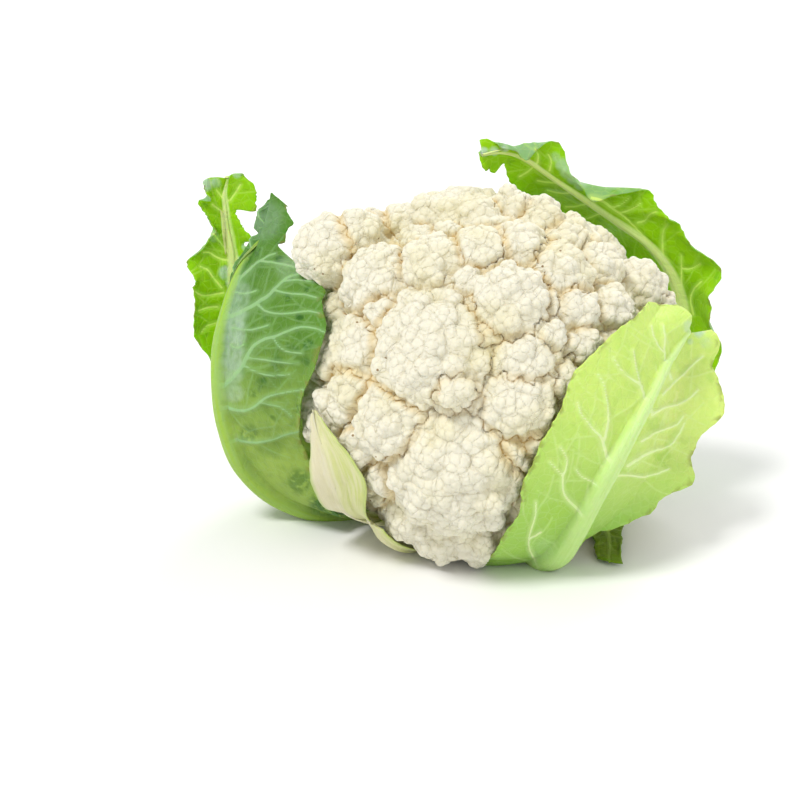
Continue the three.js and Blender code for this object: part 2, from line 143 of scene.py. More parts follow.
def seen(place):
    """A place given as it is seen, in the frame."""
    right, up, near = np.moveaxis(np.asarray(place, float), -1, 0)
    closer = near / EYE[2]
    right = right + closer * (EYE[0] - right)
    up = up + closer * (EYE[1] - up)
    return turned(np.stack([right, up, near], -1)) + MIDDLE


AXIS = unit(turned((0.12, 0.58, 0.8)))


def smoothstep(x, low, high):
    t = np.clip((x - low) / (high - low), 0, 1)
    return t * t * (3 - 2 * t)


def girth(way):
    from_crown = np.degrees(np.arccos(np.clip(way @ AXIS, -1, 1)))
    return GIRTH - (GIRTH - WAIST) * smoothstep(from_crown, WAIST_FROM, WAIST_TO)


def drawer(seed):
    """One seeded row of random numbers from 0 to 1."""
    state = [seed]

    def draw():
        state[0] = (state[0] * DRAW_FACTOR) % DRAW_RANGE
        return state[0] / DRAW_RANGE

    return draw


def floret(way, half, top):
    """A floret as a ball, whose top is in the given direction. A wider one is flatter."""
    level = min(SHOWS_FROM, top - 5)
    angle = half / SHOWS_FROM
    depth = (top**2 - level**2) / (2 * (top - level * math.cos(angle)))
    rim = math.atan2(level * math.sin(angle), level * math.cos(angle) - depth)
    return {"way": way, "half": half, "angle": angle, "radius": top - depth, "rim": rim,
            "centre": way * depth}


def florets():
    """The florets that the eye sees, then hidden ones wherever there is room."""
    placed = []
    for right, up, half, top in SEEN_FLORETS:
        near = math.sqrt(max(0.0, top**2 - right**2 - up**2))
        placed.append(floret(unit(seen((right, up, near)) - MIDDLE), half, top))
    draw = drawer(FLORET_SEED)
    ways = [f["way"] for f in placed]
    angles = [f["angle"] for f in placed]
    for size, drop in zip(HIDDEN_HALVES, HIDDEN_DROP):
        for _ in range(HIDDEN_TRIES):
            height = 2 * draw() - 1
            turn = 2 * math.pi * draw()
            half = size * (0.85 + 0.3 * draw())
            flat = math.sqrt(1 - height * height)
            way = np.array([flat * math.cos(turn), flat * math.sin(turn), height])
            if math.degrees(math.acos(np.clip(way @ AXIS, -1, 1))) > FLORETS_TO:
                continue
            made = floret(way, half, float(girth(way)) - drop)
            apart = np.arccos(np.clip(np.array(ways) @ way, -1, 1))
            if np.all(apart > PACKING * (np.array(angles) + made["angle"])):
                placed.append(made)
                ways.append(way)
                angles.append(made["angle"])
    return placed


def buds(one, draw):
    """The balls of one floret's buds, in a golden-angle spiral, and the ball under them."""
    size = max(BUD_SMALLEST, BUD_SHARE * one["half"])
    share = size / (one["radius"] - size)
    cap = 1 - math.cos(min(math.pi, one["rim"] + 0.6 * share))
    count = round((2 * math.pi * cap) / (0.87 * (BUD_STEP * share) ** 2))
    side = unit(np.cross((0, 0, 1), one["way"]))
    other = np.cross(one["way"], side)
    first = 2 * math.pi * draw()
    made = [(one["centre"], one["radius"] - BUD_RELIEF * size)]
    for i in range(count):
        lean = math.acos(1 - (cap * (i + 0.5)) / count)
        turn = first + i * GOLDEN_ANGLE
        out = math.cos(lean) * one["way"]
        out = out + math.sin(lean) * (math.cos(turn) * side + math.sin(turn) * other)
        own = size * (0.85 + 0.3 * draw())
        made.append((one["centre"] + out * (one["radius"] - own), own))
    return made


# Meshes and node trees

def mesh_of(name, points, faces):
    """A mesh from points in millimetres."""
    mesh = bpy.data.meshes.new(name)
    mesh.from_pydata(np.asarray(points * MM, float).tolist(), [], faces)
    mesh.update()
    return mesh


def piece_of(mesh, name, material, slot, *nodes):
    """A finished piece that rides on the head and stands for CAD nodes."""
    mesh.materials.clear()
    mesh.materials.append(material)
    piece = bpy.data.objects.new(name, mesh)
    bpy.context.scene.collection.objects.link(piece)
    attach(piece, "root")
    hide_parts(*nodes)
    return piece


def keep(mesh, name, values):
    """Values for each point of a mesh, as an attribute that its material reads."""
    attribute = mesh.attributes.new(name, "FLOAT", "POINT")
    attribute.data.foreach_set("value", np.asarray(values, np.float32).ravel())


class Tree:
    """A node tree that is written as calls."""

    def __init__(self, tree):
        self.tree = tree
        self.nodes = tree.nodes
        self.links = tree.links

    def add(self, kind, **settings):
        node = self.nodes.new(kind)
        inputs = settings.pop("inputs", {})
        for name, value in settings.items():
            setattr(node, name, value)
        for name, value in inputs.items():
            socket = node.inputs[name]
            if isinstance(value, bpy.types.NodeSocket):
                self.links.new(value, socket)
            else:
                socket.default_value = value
        return node

    def sum(self, operation, a, b):
        return self.add("ShaderNodeMath", operation=operation, inputs={0: a, 1: b}).outputs[0]

    def times(self, a, b):
        return self.sum("MULTIPLY", a, b)

    def plus(self, a, b):
        return self.sum("ADD", a, b)

    def ramp(self, value, low, high, low_value=0.0, high_value=1.0):
        """From one value to another, smoothly, as something else goes from low to high."""
        node = self.add("ShaderNodeMapRange", interpolation_type="SMOOTHSTEP", inputs={
            "Value": value, "From Min": low, "From Max": high,
            "To Min": low_value, "To Max": high_value})
        return node.outputs[0]

    def end(self, geometry, material):
        """The end of a Geometry Nodes tree: its instances made real, in the material."""
        real = self.add("GeometryNodeRealizeInstances", inputs={"Geometry": geometry})
        painted = self.add("GeometryNodeSetMaterial", inputs={
            "Geometry": real.outputs[0], "Material": material})
        self.links.new(painted.outputs[0], self.add("NodeGroupOutput").inputs[0])


def geometry_tree(name, inputs):
    """An empty Geometry Nodes tree with named inputs, and the identifiers of those inputs."""
    group = bpy.data.node_groups.new(name, "GeometryNodeTree")
    group.interface.new_socket("Geometry", in_out="INPUT", socket_type="NodeSocketGeometry")
    group.interface.new_socket("Geometry", in_out="OUTPUT", socket_type="NodeSocketGeometry")
    names = {}
    for label, kind in inputs.items():
        socket = group.interface.new_socket(label, in_out="INPUT", socket_type=kind)
        names[label] = socket.identifier
    return Tree(group), names


def put_modifier(obj, tree, names, values):
    modifier = obj.modifiers.new(tree.tree.name, "NODES")
    modifier.node_group = tree.tree
    for label, value in values.items():
        modifier[names[label]] = value


def floret_tree():
    """Balls on the points that carry a radius, fused with the core by the remesh that follows."""
    tree, names = geometry_tree("Florets", {
        "Large From": "NodeSocketFloat", "Skin": "NodeSocketMaterial"})
    given = tree.add("NodeGroupInput")
    radius = tree.add("GeometryNodeInputNamedAttribute", data_type="FLOAT",
                      inputs={"Name": "ball"}).outputs["Attribute"]
    parts = [given.outputs["Geometry"]]
    large = tree.sum("GREATER_THAN", radius, given.outputs["Large From"])
    some = tree.sum("GREATER_THAN", radius, 0.0)
    small = tree.sum("SUBTRACT", some, large)
    for chosen, cuts in ((large, LARGE_CUTS), (small, SMALL_CUTS)):
        ball = tree.add("GeometryNodeMeshIcoSphere", inputs={"Radius": 1.0, "Subdivisions": cuts})
        placed = tree.add("GeometryNodeInstanceOnPoints", inputs={
            "Points": given.outputs["Geometry"], "Selection": chosen,
            "Instance": ball.outputs["Mesh"], "Scale": radius})
        parts.append(placed.outputs["Instances"])
    joined = tree.add("GeometryNodeJoinGeometry")
    for part in reversed(parts):
        tree.links.new(part, joined.inputs[0])
    tree.end(joined.outputs[0], given.outputs["Skin"])
    return tree, names


def crease_tree():
    """Keeps how deep in a crease each point is, against the skin near it and farther round."""
    tree, names = geometry_tree("Creases", {
        "Middle": "NodeSocketVector", "Skin": "NodeSocketMaterial"})
    given = tree.add("NodeGroupInput").outputs
    position = tree.add("GeometryNodeInputPosition").outputs[0]
    noted = given["Geometry"]
    away = tree.add("ShaderNodeVectorMath", operation="DISTANCE",
                    inputs={0: position, 1: given["Middle"]}).outputs["Value"]
    for label, rounds, depth in HOLLOWS:
        level = tree.add("GeometryNodeBlurAttribute", data_type="FLOAT",
                         inputs={0: away, "Iterations": rounds}).outputs[0]
        below = tree.sum("DIVIDE", tree.sum("SUBTRACT", level, away), depth)
        noted = tree.add("GeometryNodeStoreNamedAttribute", data_type="FLOAT", domain="POINT",
                         inputs={"Geometry": noted, "Name": label, "Value": below}).outputs[0]
    smooth = tree.add("GeometryNodeSetShadeSmooth", inputs={"Geometry": noted})
    tree.end(smooth.outputs[0], given["Skin"])
    return tree, names


# Materials

WAX = (0.55, 0.70, 0.58)
DRY_EDGE = (0.24, 0.22, 0.05)
LEAF_LOOKS = {
    "leaf_lime": {
        "blade": ((0.62, 0.84, 0.19), (0.66, 0.82, 0.22)),
        "back": ((0.62, 0.84, 0.19), (0.66, 0.82, 0.22)),
        "root": (0.28, 0.52, 0.09), "fade": (45, 135), "vein": (0.76, 0.91, 0.46),
        "rib": (0.60, 0.82, 0.30), "dark": (0.36, 0.60, 0.07), "blotch": 0.18,
    },
    "leaf_dark": {
        "blade": ((0.20, 0.40, 0.05), (0.16, 0.34, 0.04)),
        "back": ((0.082, 0.22, 0.03), (0.11, 0.25, 0.03)),
        "root": (0.34, 0.48, 0.09), "fade": (60, 125), "vein": (0.31, 0.52, 0.24),
        "rib": (0.35, 0.56, 0.06), "dark": (0.03, 0.12, 0.012), "blotch": 0.4,
    },
    "leaf_bright": {
        "blade": ((0.30, 0.59, 0.002), (0.30, 0.58, 0.002)),
        "back": ((0.26, 0.46, 0.20), (0.26, 0.46, 0.20)),
        "root": (0.24, 0.50, 0.003), "fade": (20, 80), "vein": (0.70, 0.90, 0.20),
        "rib": (0.74, 0.90, 0.36), "dark": (0.17, 0.40, 0.003), "blotch": 0.5,
    },
    # A darker copy of leaf_dark for the leaf that lies under the head: painted shade.
    "leaf_olive": {
        "blade": ((0.17, 0.28, 0.01), (0.15, 0.24, 0.01)),
        "back": ((0.17, 0.28, 0.01), (0.15, 0.24, 0.01)),
        "root": (0.17, 0.28, 0.01), "fade": (0, 10), "vein": (0.26, 0.40, 0.05),
        "rib": (0.30, 0.44, 0.08), "dark": (0.08, 0.15, 0.01), "blotch": 0.5,
    },
}


class Finish(Tree):
    """A Principled material written as calls."""

    def __init__(self, name, roughness, specular, body=0.0, body_depth=0.0, body_spread=(1, 1, 1)):
        self.material = bpy.data.materials.new(name)
        self.material.use_nodes = True
        super().__init__(self.material.node_tree)
        self.shader = self.nodes["Principled BSDF"]
        self.shader.inputs["Roughness"].default_value = roughness
        self.shader.inputs["Specular IOR Level"].default_value = specular
        self.shader.inputs["Subsurface Weight"].default_value = body
        self.shader.inputs["Subsurface Scale"].default_value = body_depth
        self.shader.inputs["Subsurface Radius"].default_value = body_spread
        self.place = self.add("ShaderNodeTexCoord").outputs["Object"]

    def noise(self, scale, detail, distortion=0.0):
        return self.add("ShaderNodeTexNoise", inputs={
            "Vector": self.place, "Scale": scale, "Detail": detail, "Distortion": distortion,
        }).outputs["Fac"]

    def cells(self, scale, feature):
        """Cells as wide as one over the scale, and how far it is to their middles or edges."""
        return self.add("ShaderNodeTexVoronoi", feature=feature, inputs={
            "Vector": self.place, "Scale": scale, "Randomness": 0.85,
        }).outputs["Distance"]

    def fibres(self, across, along):
        """A noise drawn out along a leaf, from its own two measures in millimetres."""
        place = self.add("ShaderNodeCombineXYZ", inputs={
            0: self.times(self.value("across"), across),
            1: self.times(self.value("along"), along)}).outputs[0]
        return self.add("ShaderNodeTexNoise", inputs={
            "Vector": place, "Scale": 1.0, "Detail": 3.0}).outputs["Fac"]

    def value(self, name):
        return self.add("ShaderNodeAttribute", attribute_name=name).outputs["Fac"]

    def blend(self, share, a, b):
        node = self.add("ShaderNodeMix", data_type="RGBA")
        for socket, value in ((node.inputs[0], share), (node.inputs[6], a), (node.inputs[7], b)):
            if isinstance(value, bpy.types.NodeSocket):
                self.links.new(value, socket)
            elif isinstance(value, tuple):
                socket.default_value = (*value, 1.0)
            else:
                socket.default_value = value
        return node.outputs[2]

    def finish(self, colour, height=None, depth=0.0):
        self.links.new(colour, self.shader.inputs["Base Color"])
        if height is not None:
            bump = self.add("ShaderNodeBump", inputs={"Distance": depth, "Height": height})
            self.links.new(bump.outputs[0], self.shader.inputs["Normal"])
        return self.material


def curd_finish():
    """Cream white buds, with painted tan shade in the creases, a fine grain and a few dark specks."""
    f = Finish("curd", 0.6, 0.25, 0.3, 0.0025, (1.0, 0.9, 0.7))
    patches = f.ramp(f.noise(38, 2), 0.42, 0.68)
    colour = f.blend(patches, (0.79, 0.76, 0.62), (0.77, 0.73, 0.53))
    # Painted shade: the seams between lobes and beads go tan, more so the deeper they lie in a
    # crease.
    seam = f.sum("MAXIMUM", f.ramp(f.value("lobe"), 0.1, 1.1, 1.0, 0.0),
                 f.ramp(f.value("bead"), 0.1, 0.8, 0.45, 0.0))
    shaded = f.ramp(f.value("crease"), -0.3, 1.2, 0.3, 1.0)
    colour = f.blend(f.times(f.times(seam, shaded), 0.35), colour, (0.74, 0.62, 0.33))
    # Painted shade: the deeper creases go over to tan.
    colour = f.blend(f.ramp(f.value("crease"), 0.5, 1.8, 0.0, 0.4), colour, (0.78, 0.68, 0.38))
    # A green tint in the deep hollows where floret stalks show: partly their own colour, partly
    # painted shade.
    green = f.ramp(f.noise(17, 1), 0.55, 0.7, 0.0, 0.25)
    colour = f.blend(f.times(green, f.ramp(f.value("hollow"), 0.0, 1.0)), colour,
                     (0.66, 0.66, 0.28))
    # Painted shade: the narrow cracks between florets go dark orange brown, stronger in some places.
    crack = f.ramp(f.value("crack"), 0.1, 1.3, 1.0, 0.0)
    warm = f.ramp(f.noise(26, 2), 0.38, 0.6, 0.35, 1.0)
    colour = f.blend(f.times(f.times(crack, warm), 0.85), colour, (0.46, 0.26, 0.05))
    # Painted shade: a soft tan band in the wider hollow round each crack.
    rim_shade = f.times(f.ramp(f.value("rim"), 0.2, 3.0, 0.5, 0.0), warm)
    colour = f.blend(rim_shade, colour, (0.74, 0.56, 0.24))
    # Painted shade: the deepest hollows go brown in patches.
    deep = f.times(f.ramp(f.value("hollow"), 0.5, 1.6), f.ramp(f.noise(30, 2), 0.36, 0.6))
    colour = f.blend(f.times(deep, 0.75), colour, (0.55, 0.33, 0.09))
    specks = f.cells(150.0, "F1")
    near = f.ramp(specks, 0.06, 0.11, 1.0, 0.0)
    rare = f.ramp(f.noise(24, 1), 0.60, 0.64)
    colour = f.blend(f.times(near, rare), colour, (0.30, 0.20, 0.10))
    grain = f.ramp(f.cells(620.0, "F1"), 0.0, 0.75, 1.0, 0.0)
    fine = f.plus(f.times(grain, 0.55), f.times(f.noise(900, 2), 0.5))
    grooves = f.plus(f.ramp(f.value("bead"), 0.0, 0.8, 0.0, 0.7),
                     f.ramp(f.value("lobe"), 0.0, 1.2, 0.0, 1.0))
    return f.finish(colour, f.plus(grooves, fine), 0.00035)


def stem_finish():
    """Pale green stalk with long fibres."""
    f = Finish("stem", 0.5, 0.4, 0.25, 0.003, (0.8, 1.0, 0.4))
    colour = f.blend(f.ramp(f.noise(60, 3), 0.35, 0.7), (0.66, 0.74, 0.42), (0.78, 0.82, 0.58))
    colour = f.blend(f.value("cut"), colour, (0.86, 0.86, 0.68))
    return f.finish(colour, f.noise(500, 3), 0.0006)


def leaf_finish(name, blade, back, root, fade, vein, rib, dark, blotch):
    """A leaf: its veins down to a fine net, its rib, its bloom and its darker blotches.

    The blade and its back are each two colours: by the rib, and on the far half of the leaf. Both
    go over to one colour by the root, which fades out between two places along the leaf, in
    millimetres.
    """
    f = Finish(name, 0.45, 0.14, 0.35, 0.0025, (0.5, 1.0, 0.15))
    beyond = f.ramp(f.value("across"), -4.0, 26.0)
    by_root = f.ramp(f.value("along"), *fade, 0.9, 0.0)
    colour = f.blend(f.value("side"), f.blend(beyond, *blade), f.blend(beyond, *back))
    colour = f.blend(by_root, colour, root)
    colour = f.blend(f.ramp(f.noise(42, 3, 0.6), 0.48, 0.74, 0.0, blotch), colour, dark)
    colour = f.blend(f.ramp(f.noise(88, 1, 0.3), 0.68, 0.76, 0.0, 1.3 * blotch), colour, dark)
    # Dark spots, and the painted shadow on the lower part of the left leaf.
    spots = f.times(f.value("spot"), f.ramp(f.noise(300, 2), 0.3, 0.55))
    colour = f.blend(spots, colour, dark)
    waxy = f.times(f.value("bloom"), f.ramp(f.noise(170, 3), 0.25, 0.6, 0.45, 1.0))
    colour = f.blend(waxy, colour, WAX)
    colour = f.blend(f.ramp(f.noise(230, 2), 0.4, 0.8, 0.0, 0.22), colour, dark)
    net = f.ramp(f.cells(210.0, "DISTANCE_TO_EDGE"), 0.01, 0.09, 0.10, 0.0)
    halo = f.ramp(f.value("vein"), 1.0, 4.5, 0.30, 0.0)
    line = f.ramp(f.value("vein"), 0.6, 1.35, 0.85, 0.0)
    twig = f.ramp(f.value("twig"), 0.4, 1.7, 0.24, 0.0)
    lines = f.sum("MAXIMUM", f.sum("MAXIMUM", line, twig), f.sum("MAXIMUM", net, halo))
    colour = f.blend(lines, colour, vein)
    tooth = f.times(f.ramp(f.value("edge"), 0.93, 1.0), f.ramp(f.noise(210, 1), 0.5, 0.62))
    colour = f.blend(f.times(tooth, 0.6), colour, DRY_EDGE)
    stalk = f.blend(f.ramp(f.fibres(0.9, 0.05), 0.3, 0.7, 0.0, 0.5), rib, vein)
    stalk = f.blend(f.ramp(f.value("along"), *fade, 0.4, 0.0), stalk, root)
    colour = f.blend(f.ramp(f.value("rib"), 0.7, 1.2, 1.0, 0.0), colour, stalk)
    relief = f.plus(f.times(f.noise(260, 3), 0.9), f.times(net, -1.5))
    relief = f.plus(relief, f.times(f.fibres(1.6, 0.04), 0.5))
    return f.finish(colour, relief, 0.0006)


def base_finish():
    """A trimmed leaf base: smooth, cream to yellow green, with faint fibres along it."""
    f = Finish("leaf_base", 0.45, 0.4, 0.35, 0.003, (0.9, 1.0, 0.4))
    colour = f.blend(f.ramp(f.value("across"), -5.0, 8.0), (0.70, 0.65, 0.43), (0.60, 0.65, 0.24))
    colour = f.blend(f.ramp(f.fibres(0.7, 0.05), 0.35, 0.65, 0.0, 0.5), colour, (0.78, 0.74, 0.54))
    colour = f.blend(f.ramp(f.value("edge"), 0.8, 1.0, 0.0, 0.7), colour, (0.42, 0.55, 0.13))
    colour = f.blend(f.ramp(f.noise(45, 3), 0.55, 0.75, 0.0, 0.35), colour, (0.42, 0.40, 0.14))
    relief = f.plus(f.fibres(1.3, 0.05), f.times(f.noise(300, 3), 0.5))
    return f.finish(colour, relief, 0.0005)


# Curd

def core_points():
    """A ball drawn in round the stem, as points and faces."""
    ball = bmesh.new()
    bmesh.ops.create_icosphere(ball, subdivisions=6, radius=1.0)
    ways = unit(np.array([v.co for v in ball.verts]))
    faces = [[v.index for v in face.verts] for face in ball.faces]
    ball.free()
    return ways * np.minimum(CORE, girth(ways) - 2)[:, None] + MIDDLE, faces


def curd_skin(placed, material):
    """The whole skin of the curd as one plain mesh."""
    draw = drawer(BUD_SEED)
    balls = [ball for one in placed for ball in buds(one, draw)]
    core, faces = core_points()
    centres = np.array([centre for centre, _ in balls]) + MIDDLE
    mesh = mesh_of("skin", np.concatenate([core, centres]), faces)
    radii = np.concatenate([np.zeros(len(core)), [radius * MM for _, radius in balls]])
    keep(mesh, "ball", radii)
    skin = bpy.data.objects.new("skin", mesh)
    bpy.context.scene.collection.objects.link(skin)
    tree, names = floret_tree()
    put_modifier(skin, tree, names, {"Large From": LARGE_BALL, "Skin": material})
    remesh = skin.modifiers.new("Fuse", "REMESH")
    remesh.mode = "VOXEL"
    remesh.voxel_size = SKIN_VOXEL * MM
    tree, names = crease_tree()
    put_modifier(skin, tree, names, {"Middle": (MIDDLE * MM).tolist(), "Skin": material})
    graph = bpy.context.evaluated_depsgraph_get()
    whole = bpy.data.meshes.new_from_object(skin.evaluated_get(graph), depsgraph=graph)
    bpy.data.objects.remove(skin)
    return whole


def read(collection, name, width, kind=np.float32):
    values = np.zeros(len(collection) * width, kind)
    collection.foreach_get(name, values)
    return values.reshape(-1, width) if width > 1 else values


def floret_gaps(places, placed):
    """The floret that each place is on, with joined ones as one, and how far the next one is."""
    group = np.arange(len(placed))
    for joined in JOINED:
        group[list(joined)] = joined[0]
    best = np.full(len(places), 1e9)
    second = np.full(len(places), 1e9)
    which = np.zeros(len(places), int)
    for i, one in enumerate(placed):
        far = np.linalg.norm(places - one["centre"], axis=1) - one["radius"]
        closer = far < best
        same = which == group[i]
        second = np.where(closer, np.where(same, second, best),
                          np.where(same, second, np.minimum(second, far)))
        best[closer] = far[closer]
        which[closer] = group[i]
    return which, second - best


def spread(points, apart, rng):
    """Some of the points, none nearer another than the distance given."""
    chosen = []
    taken = {}
    for i in rng.permutation(len(points))[:SWELLING_TRIES]:
        place = points[i]
        home = tuple(np.floor(place / apart).astype(int).tolist())
        about = [taken.get((home[0] + x, home[1] + y, home[2] + z))
                 for x in (-1, 0, 1) for y in (-1, 0, 1) for z in (-1, 0, 1)]
        others = [one for found in about if found for one in found]
        if all(math.dist(one, place) >= apart for one in others):
            chosen.append(place)
            taken.setdefault(home, []).append(tuple(place.tolist()))
    return chosen


def swelling(points, apart, height, seed):
    """One layer of round swellings: how far it lifts each point, how near a seam the point is,
    and the middles of the two swellings on either side of that seam."""
    chosen = spread(points, SWELLING_GAP * apart, np.random.default_rng(seed))
    tree = KDTree(len(chosen))
    for i, place in enumerate(chosen):
        tree.insert(place, i)
    tree.balance()
    found = [tree.find_n(place, 2) for place in points.tolist()]
    far = np.array([(first[2], second[2]) for first, second in found])
    ends = np.array([(first[1], second[1]) for first, second in found])
    down = np.clip(far[:, 0] / (SWELLING_REACH * apart), 0, SWELLING_DROP) ** 2
    return height * (SWELLING_LIFT - down), far[:, 1] - far[:, 0], ends, np.array(chosen)


def swell(points, normals, placed, kept):
    """Lobes, beads and grains in relief, each layer's seams kept for the material, and the
    florets' own cracks along the seams between their beads."""
    for label, (apart, height, seed) in SWELLINGS.items():
        lift, kept[label], ends, middles = swelling(points, apart, height, seed)
        points = points + normals * lift[:, None]
        if label == "bead":
            own = floret_gaps(middles, placed)[0]
            parted = own[ends[:, 0]] != own[ends[:, 1]]
            kept["crack"] = np.where(parted, kept[label], CRACK_NONE)
    return points


def pressed(points, leaves):
    """The points, with those that would come through a leaf's blade set back under it."""
    graph = bpy.context.evaluated_depsgraph_get()
    length = np.linalg.norm(points, axis=1)
    ways = unit(points)
    starts = ((points - ways * UNDER_LEAF + MIDDLE) * MM).tolist()
    headings = ways.tolist()
    for leaf in leaves:
        blade = BVHTree.FromObject(leaf, graph)
        corners = read(leaf.data.vertices, "co", 3) / MM - MIDDLE
        near = np.all((points > corners.min(0) - 1) & (points < corners.max(0) + 1), axis=1)
        for i in np.flatnonzero(near).tolist():
            far = blade.ray_cast(starts[i], headings[i], (UNDER_LEAF + LEAF_CLEAR) * MM)[3]
            if far is not None:
                back = UNDER_LEAF + LEAF_CLEAR - far / MM
                length[i] = min(length[i], np.linalg.norm(points[i]) - back)
    return ways * length[:, None]


def build_curd(leaves):
    """The curd's skin with its relief, set back under the leaves and parted in closed pieces."""
    material = curd_finish()
    placed = florets()
    whole = curd_skin(placed, material)
    points = read(whole.vertices, "co", 3) / MM - MIDDLE
    normals = read(whole.vertex_normals, "vector", 3)
    quads = read(whole.loops, "vertex_index", 1, np.int32).reshape(-1, 4)
    kept = {name: read(whole.attributes[name].data, "value", 1) for name, _, _ in HOLLOWS}
    which, kept["rim"] = floret_gaps(points, placed)
    points = swell(points, normals, placed, kept)
    split = np.maximum(np.exp(-(kept["crack"] / CRACK_WIDTH) ** 2),
                       RIM_SHARE * np.exp(-(kept["rim"] / RIM_WIDTH) ** 2))
    points = pressed(points - unit(points) * (CRACK_DEPTH * split)[:, None], leaves)
    whole.vertices.foreach_set("co", ((points + MIDDLE) * MM).astype(np.float32).ravel())
    whole.update()
    normals = read(whole.vertex_normals, "vector", 3)
    ways = unit(turned(np.array(list(SKIN_PIECES.values()))))
    side_of = np.array([int(np.argmax(ways @ one["way"])) for one in placed])
    group = side_of[which[quads[:, 0]]]
    for i, name in enumerate(SKIN_PIECES):
        mesh = closed_piece(name, points, normals, quads[group == i], kept)
        piece_of(mesh, name, material, "curd", "curd")
    bpy.data.meshes.remove(whole)


def closed_piece(name, points, normals, quads, kept):
    """Part of the skin, closed by walls that go in from its edge to one point."""
    used, inverse = np.unique(quads, return_inverse=True)
    quads = inverse.reshape(-1, 4)
    outer = points[used]
    ahead = np.concatenate([quads[:, [i, (i + 1) % 4]] for i in range(4)])
    size = len(used)
    codes = ahead[:, 0] * size + ahead[:, 1]
    back = ahead[:, 1] * size + ahead[:, 0]
    open_edges = ahead[~np.isin(codes, back)]
    rim = np.unique(open_edges)
    lower = size + np.arange(len(rim))
    below = np.full(size, -1)
    below[rim] = lower
    length = np.linalg.norm(outer[rim], axis=1, keepdims=True)
    inner = outer[rim] * (length - SEAM_DEPTH) / length
    apex = inner.mean(0) * APEX_SHARE
    a, b = open_edges[:, 0], open_edges[:, 1]
    walls = np.stack([b, a, below[a], below[b]], 1)
    tip = size + len(rim)
    caps = np.stack([below[b], below[a], np.full(len(a), tip)], 1)
    every = np.concatenate([outer, inner, apex[None]]) + MIDDLE
    mesh = mesh_of(name, every, quads.tolist() + walls.tolist() + caps.tolist())
    spare = len(rim) + 1
    for label, values in kept.items():
        keep(mesh, label, np.concatenate([values[used], np.zeros(spare)]))
    mesh.shade_smooth()
    own = normals[used][quads.ravel()]
    hidden = np.zeros((4 * len(walls) + 3 * len(caps), 3))
    mesh.normals_split_custom_set(np.concatenate([own, hidden]).tolist())
    return mesh


# Stem

STEM_AROUND = 160  # points in a row round the stalk
END_ROWS = 22
SIDE_ROWS = 40


def stem_profile():
    """The rows from the cut end in: radius, how far below the middle, and if it is on the end."""
    rows = [(STEM_RADIUS * share, STEM_CUT, 1) for share in np.linspace(0.04, 0.93, END_ROWS)]
    rows += [(STEM_RADIUS - 0.7, STEM_CUT - 0.3, 1), (STEM_RADIUS - 0.1, STEM_CUT - 1.4, 1)]
    for x in np.linspace(0, 1, SIDE_ROWS):
        out = STEM_RADIUS + STEM_FLARE * smoothstep(x, 0.35, 1.0) ** 1.5
        rows.append((out, STEM_CUT - 3 - x * (STEM_CUT - STEM_TOP - 3), 0))
    return rows


def stem_row(out, low, end, turn, round_way):
    """The points of one row: fibres and scars on the side, and a shallow ring in the cut end."""
    fibres = 0.25 * np.sin(19 * turn + 0.6 * np.sin(low / 3)) + 0.12 * np.sin(47 * turn)
    scars = 0.9 * np.sin(low / 2.1 + 1.5 * np.sin(2 * turn))
    ring = -0.5 * smoothstep(out, 14, 17) * (1 - smoothstep(out, 18, 20)) * end
    radius = out + (1 - end) * (fibres + 0.35 * scars)
    return MIDDLE - AXIS * (low + ring) + radius[:, None] * round_way


def tube_faces(count, around):
    """The faces between a tube's rows, and round the two points that close its ends."""
    turns = [(j, (j + 1) % around) for j in range(around)]
    faces = [(k * around + j, (k + 1) * around + j, (k + 1) * around + n, k * around + n)
             for k in range(count - 1) for j, n in turns]
    last, low, high = (count - 1) * around, count * around, count * around + 1
    for j, n in turns:
        faces += [(low, j, n), (high, last + n, last + j)]
    return faces


def build_stem():
    """The cut stalk: fibres along it, ridges where leaves were cut away, and a cut end."""
    turn = np.linspace(0, 2 * math.pi, STEM_AROUND, endpoint=False)
    side = unit(np.cross(AXIS, (1.0, 0.0, 0.0)))
    other = np.cross(AXIS, side)
    round_way = np.cos(turn)[:, None] * side + np.sin(turn)[:, None] * other
    profile = stem_profile()
    rows = [stem_row(out, low, end, turn, round_way) for out, low, end in profile]
    points = np.concatenate(rows + [[MIDDLE - AXIS * STEM_CUT], [MIDDLE - AXIS * STEM_TOP]])
    points[:, 2] = np.maximum(points[:, 2], 0)
    mesh = mesh_of("stem_stalk", points, tube_faces(len(profile), STEM_AROUND))
    outwards(mesh)
    ends = np.repeat([end for _, _, end in profile], STEM_AROUND)
    keep(mesh, "cut", np.concatenate([ends, (1, 0)]))
    mesh.shade_smooth()
    piece_of(mesh, "stem_stalk", stem_finish(), "stem", "stem")


def outwards(mesh):
    """Turns all faces of a closed mesh to face out."""
    shell = bmesh.new()
    shell.from_mesh(mesh)
    bmesh.ops.recalc_face_normals(shell, faces=shell.faces)
    shell.to_mesh(mesh)
    shell.free()


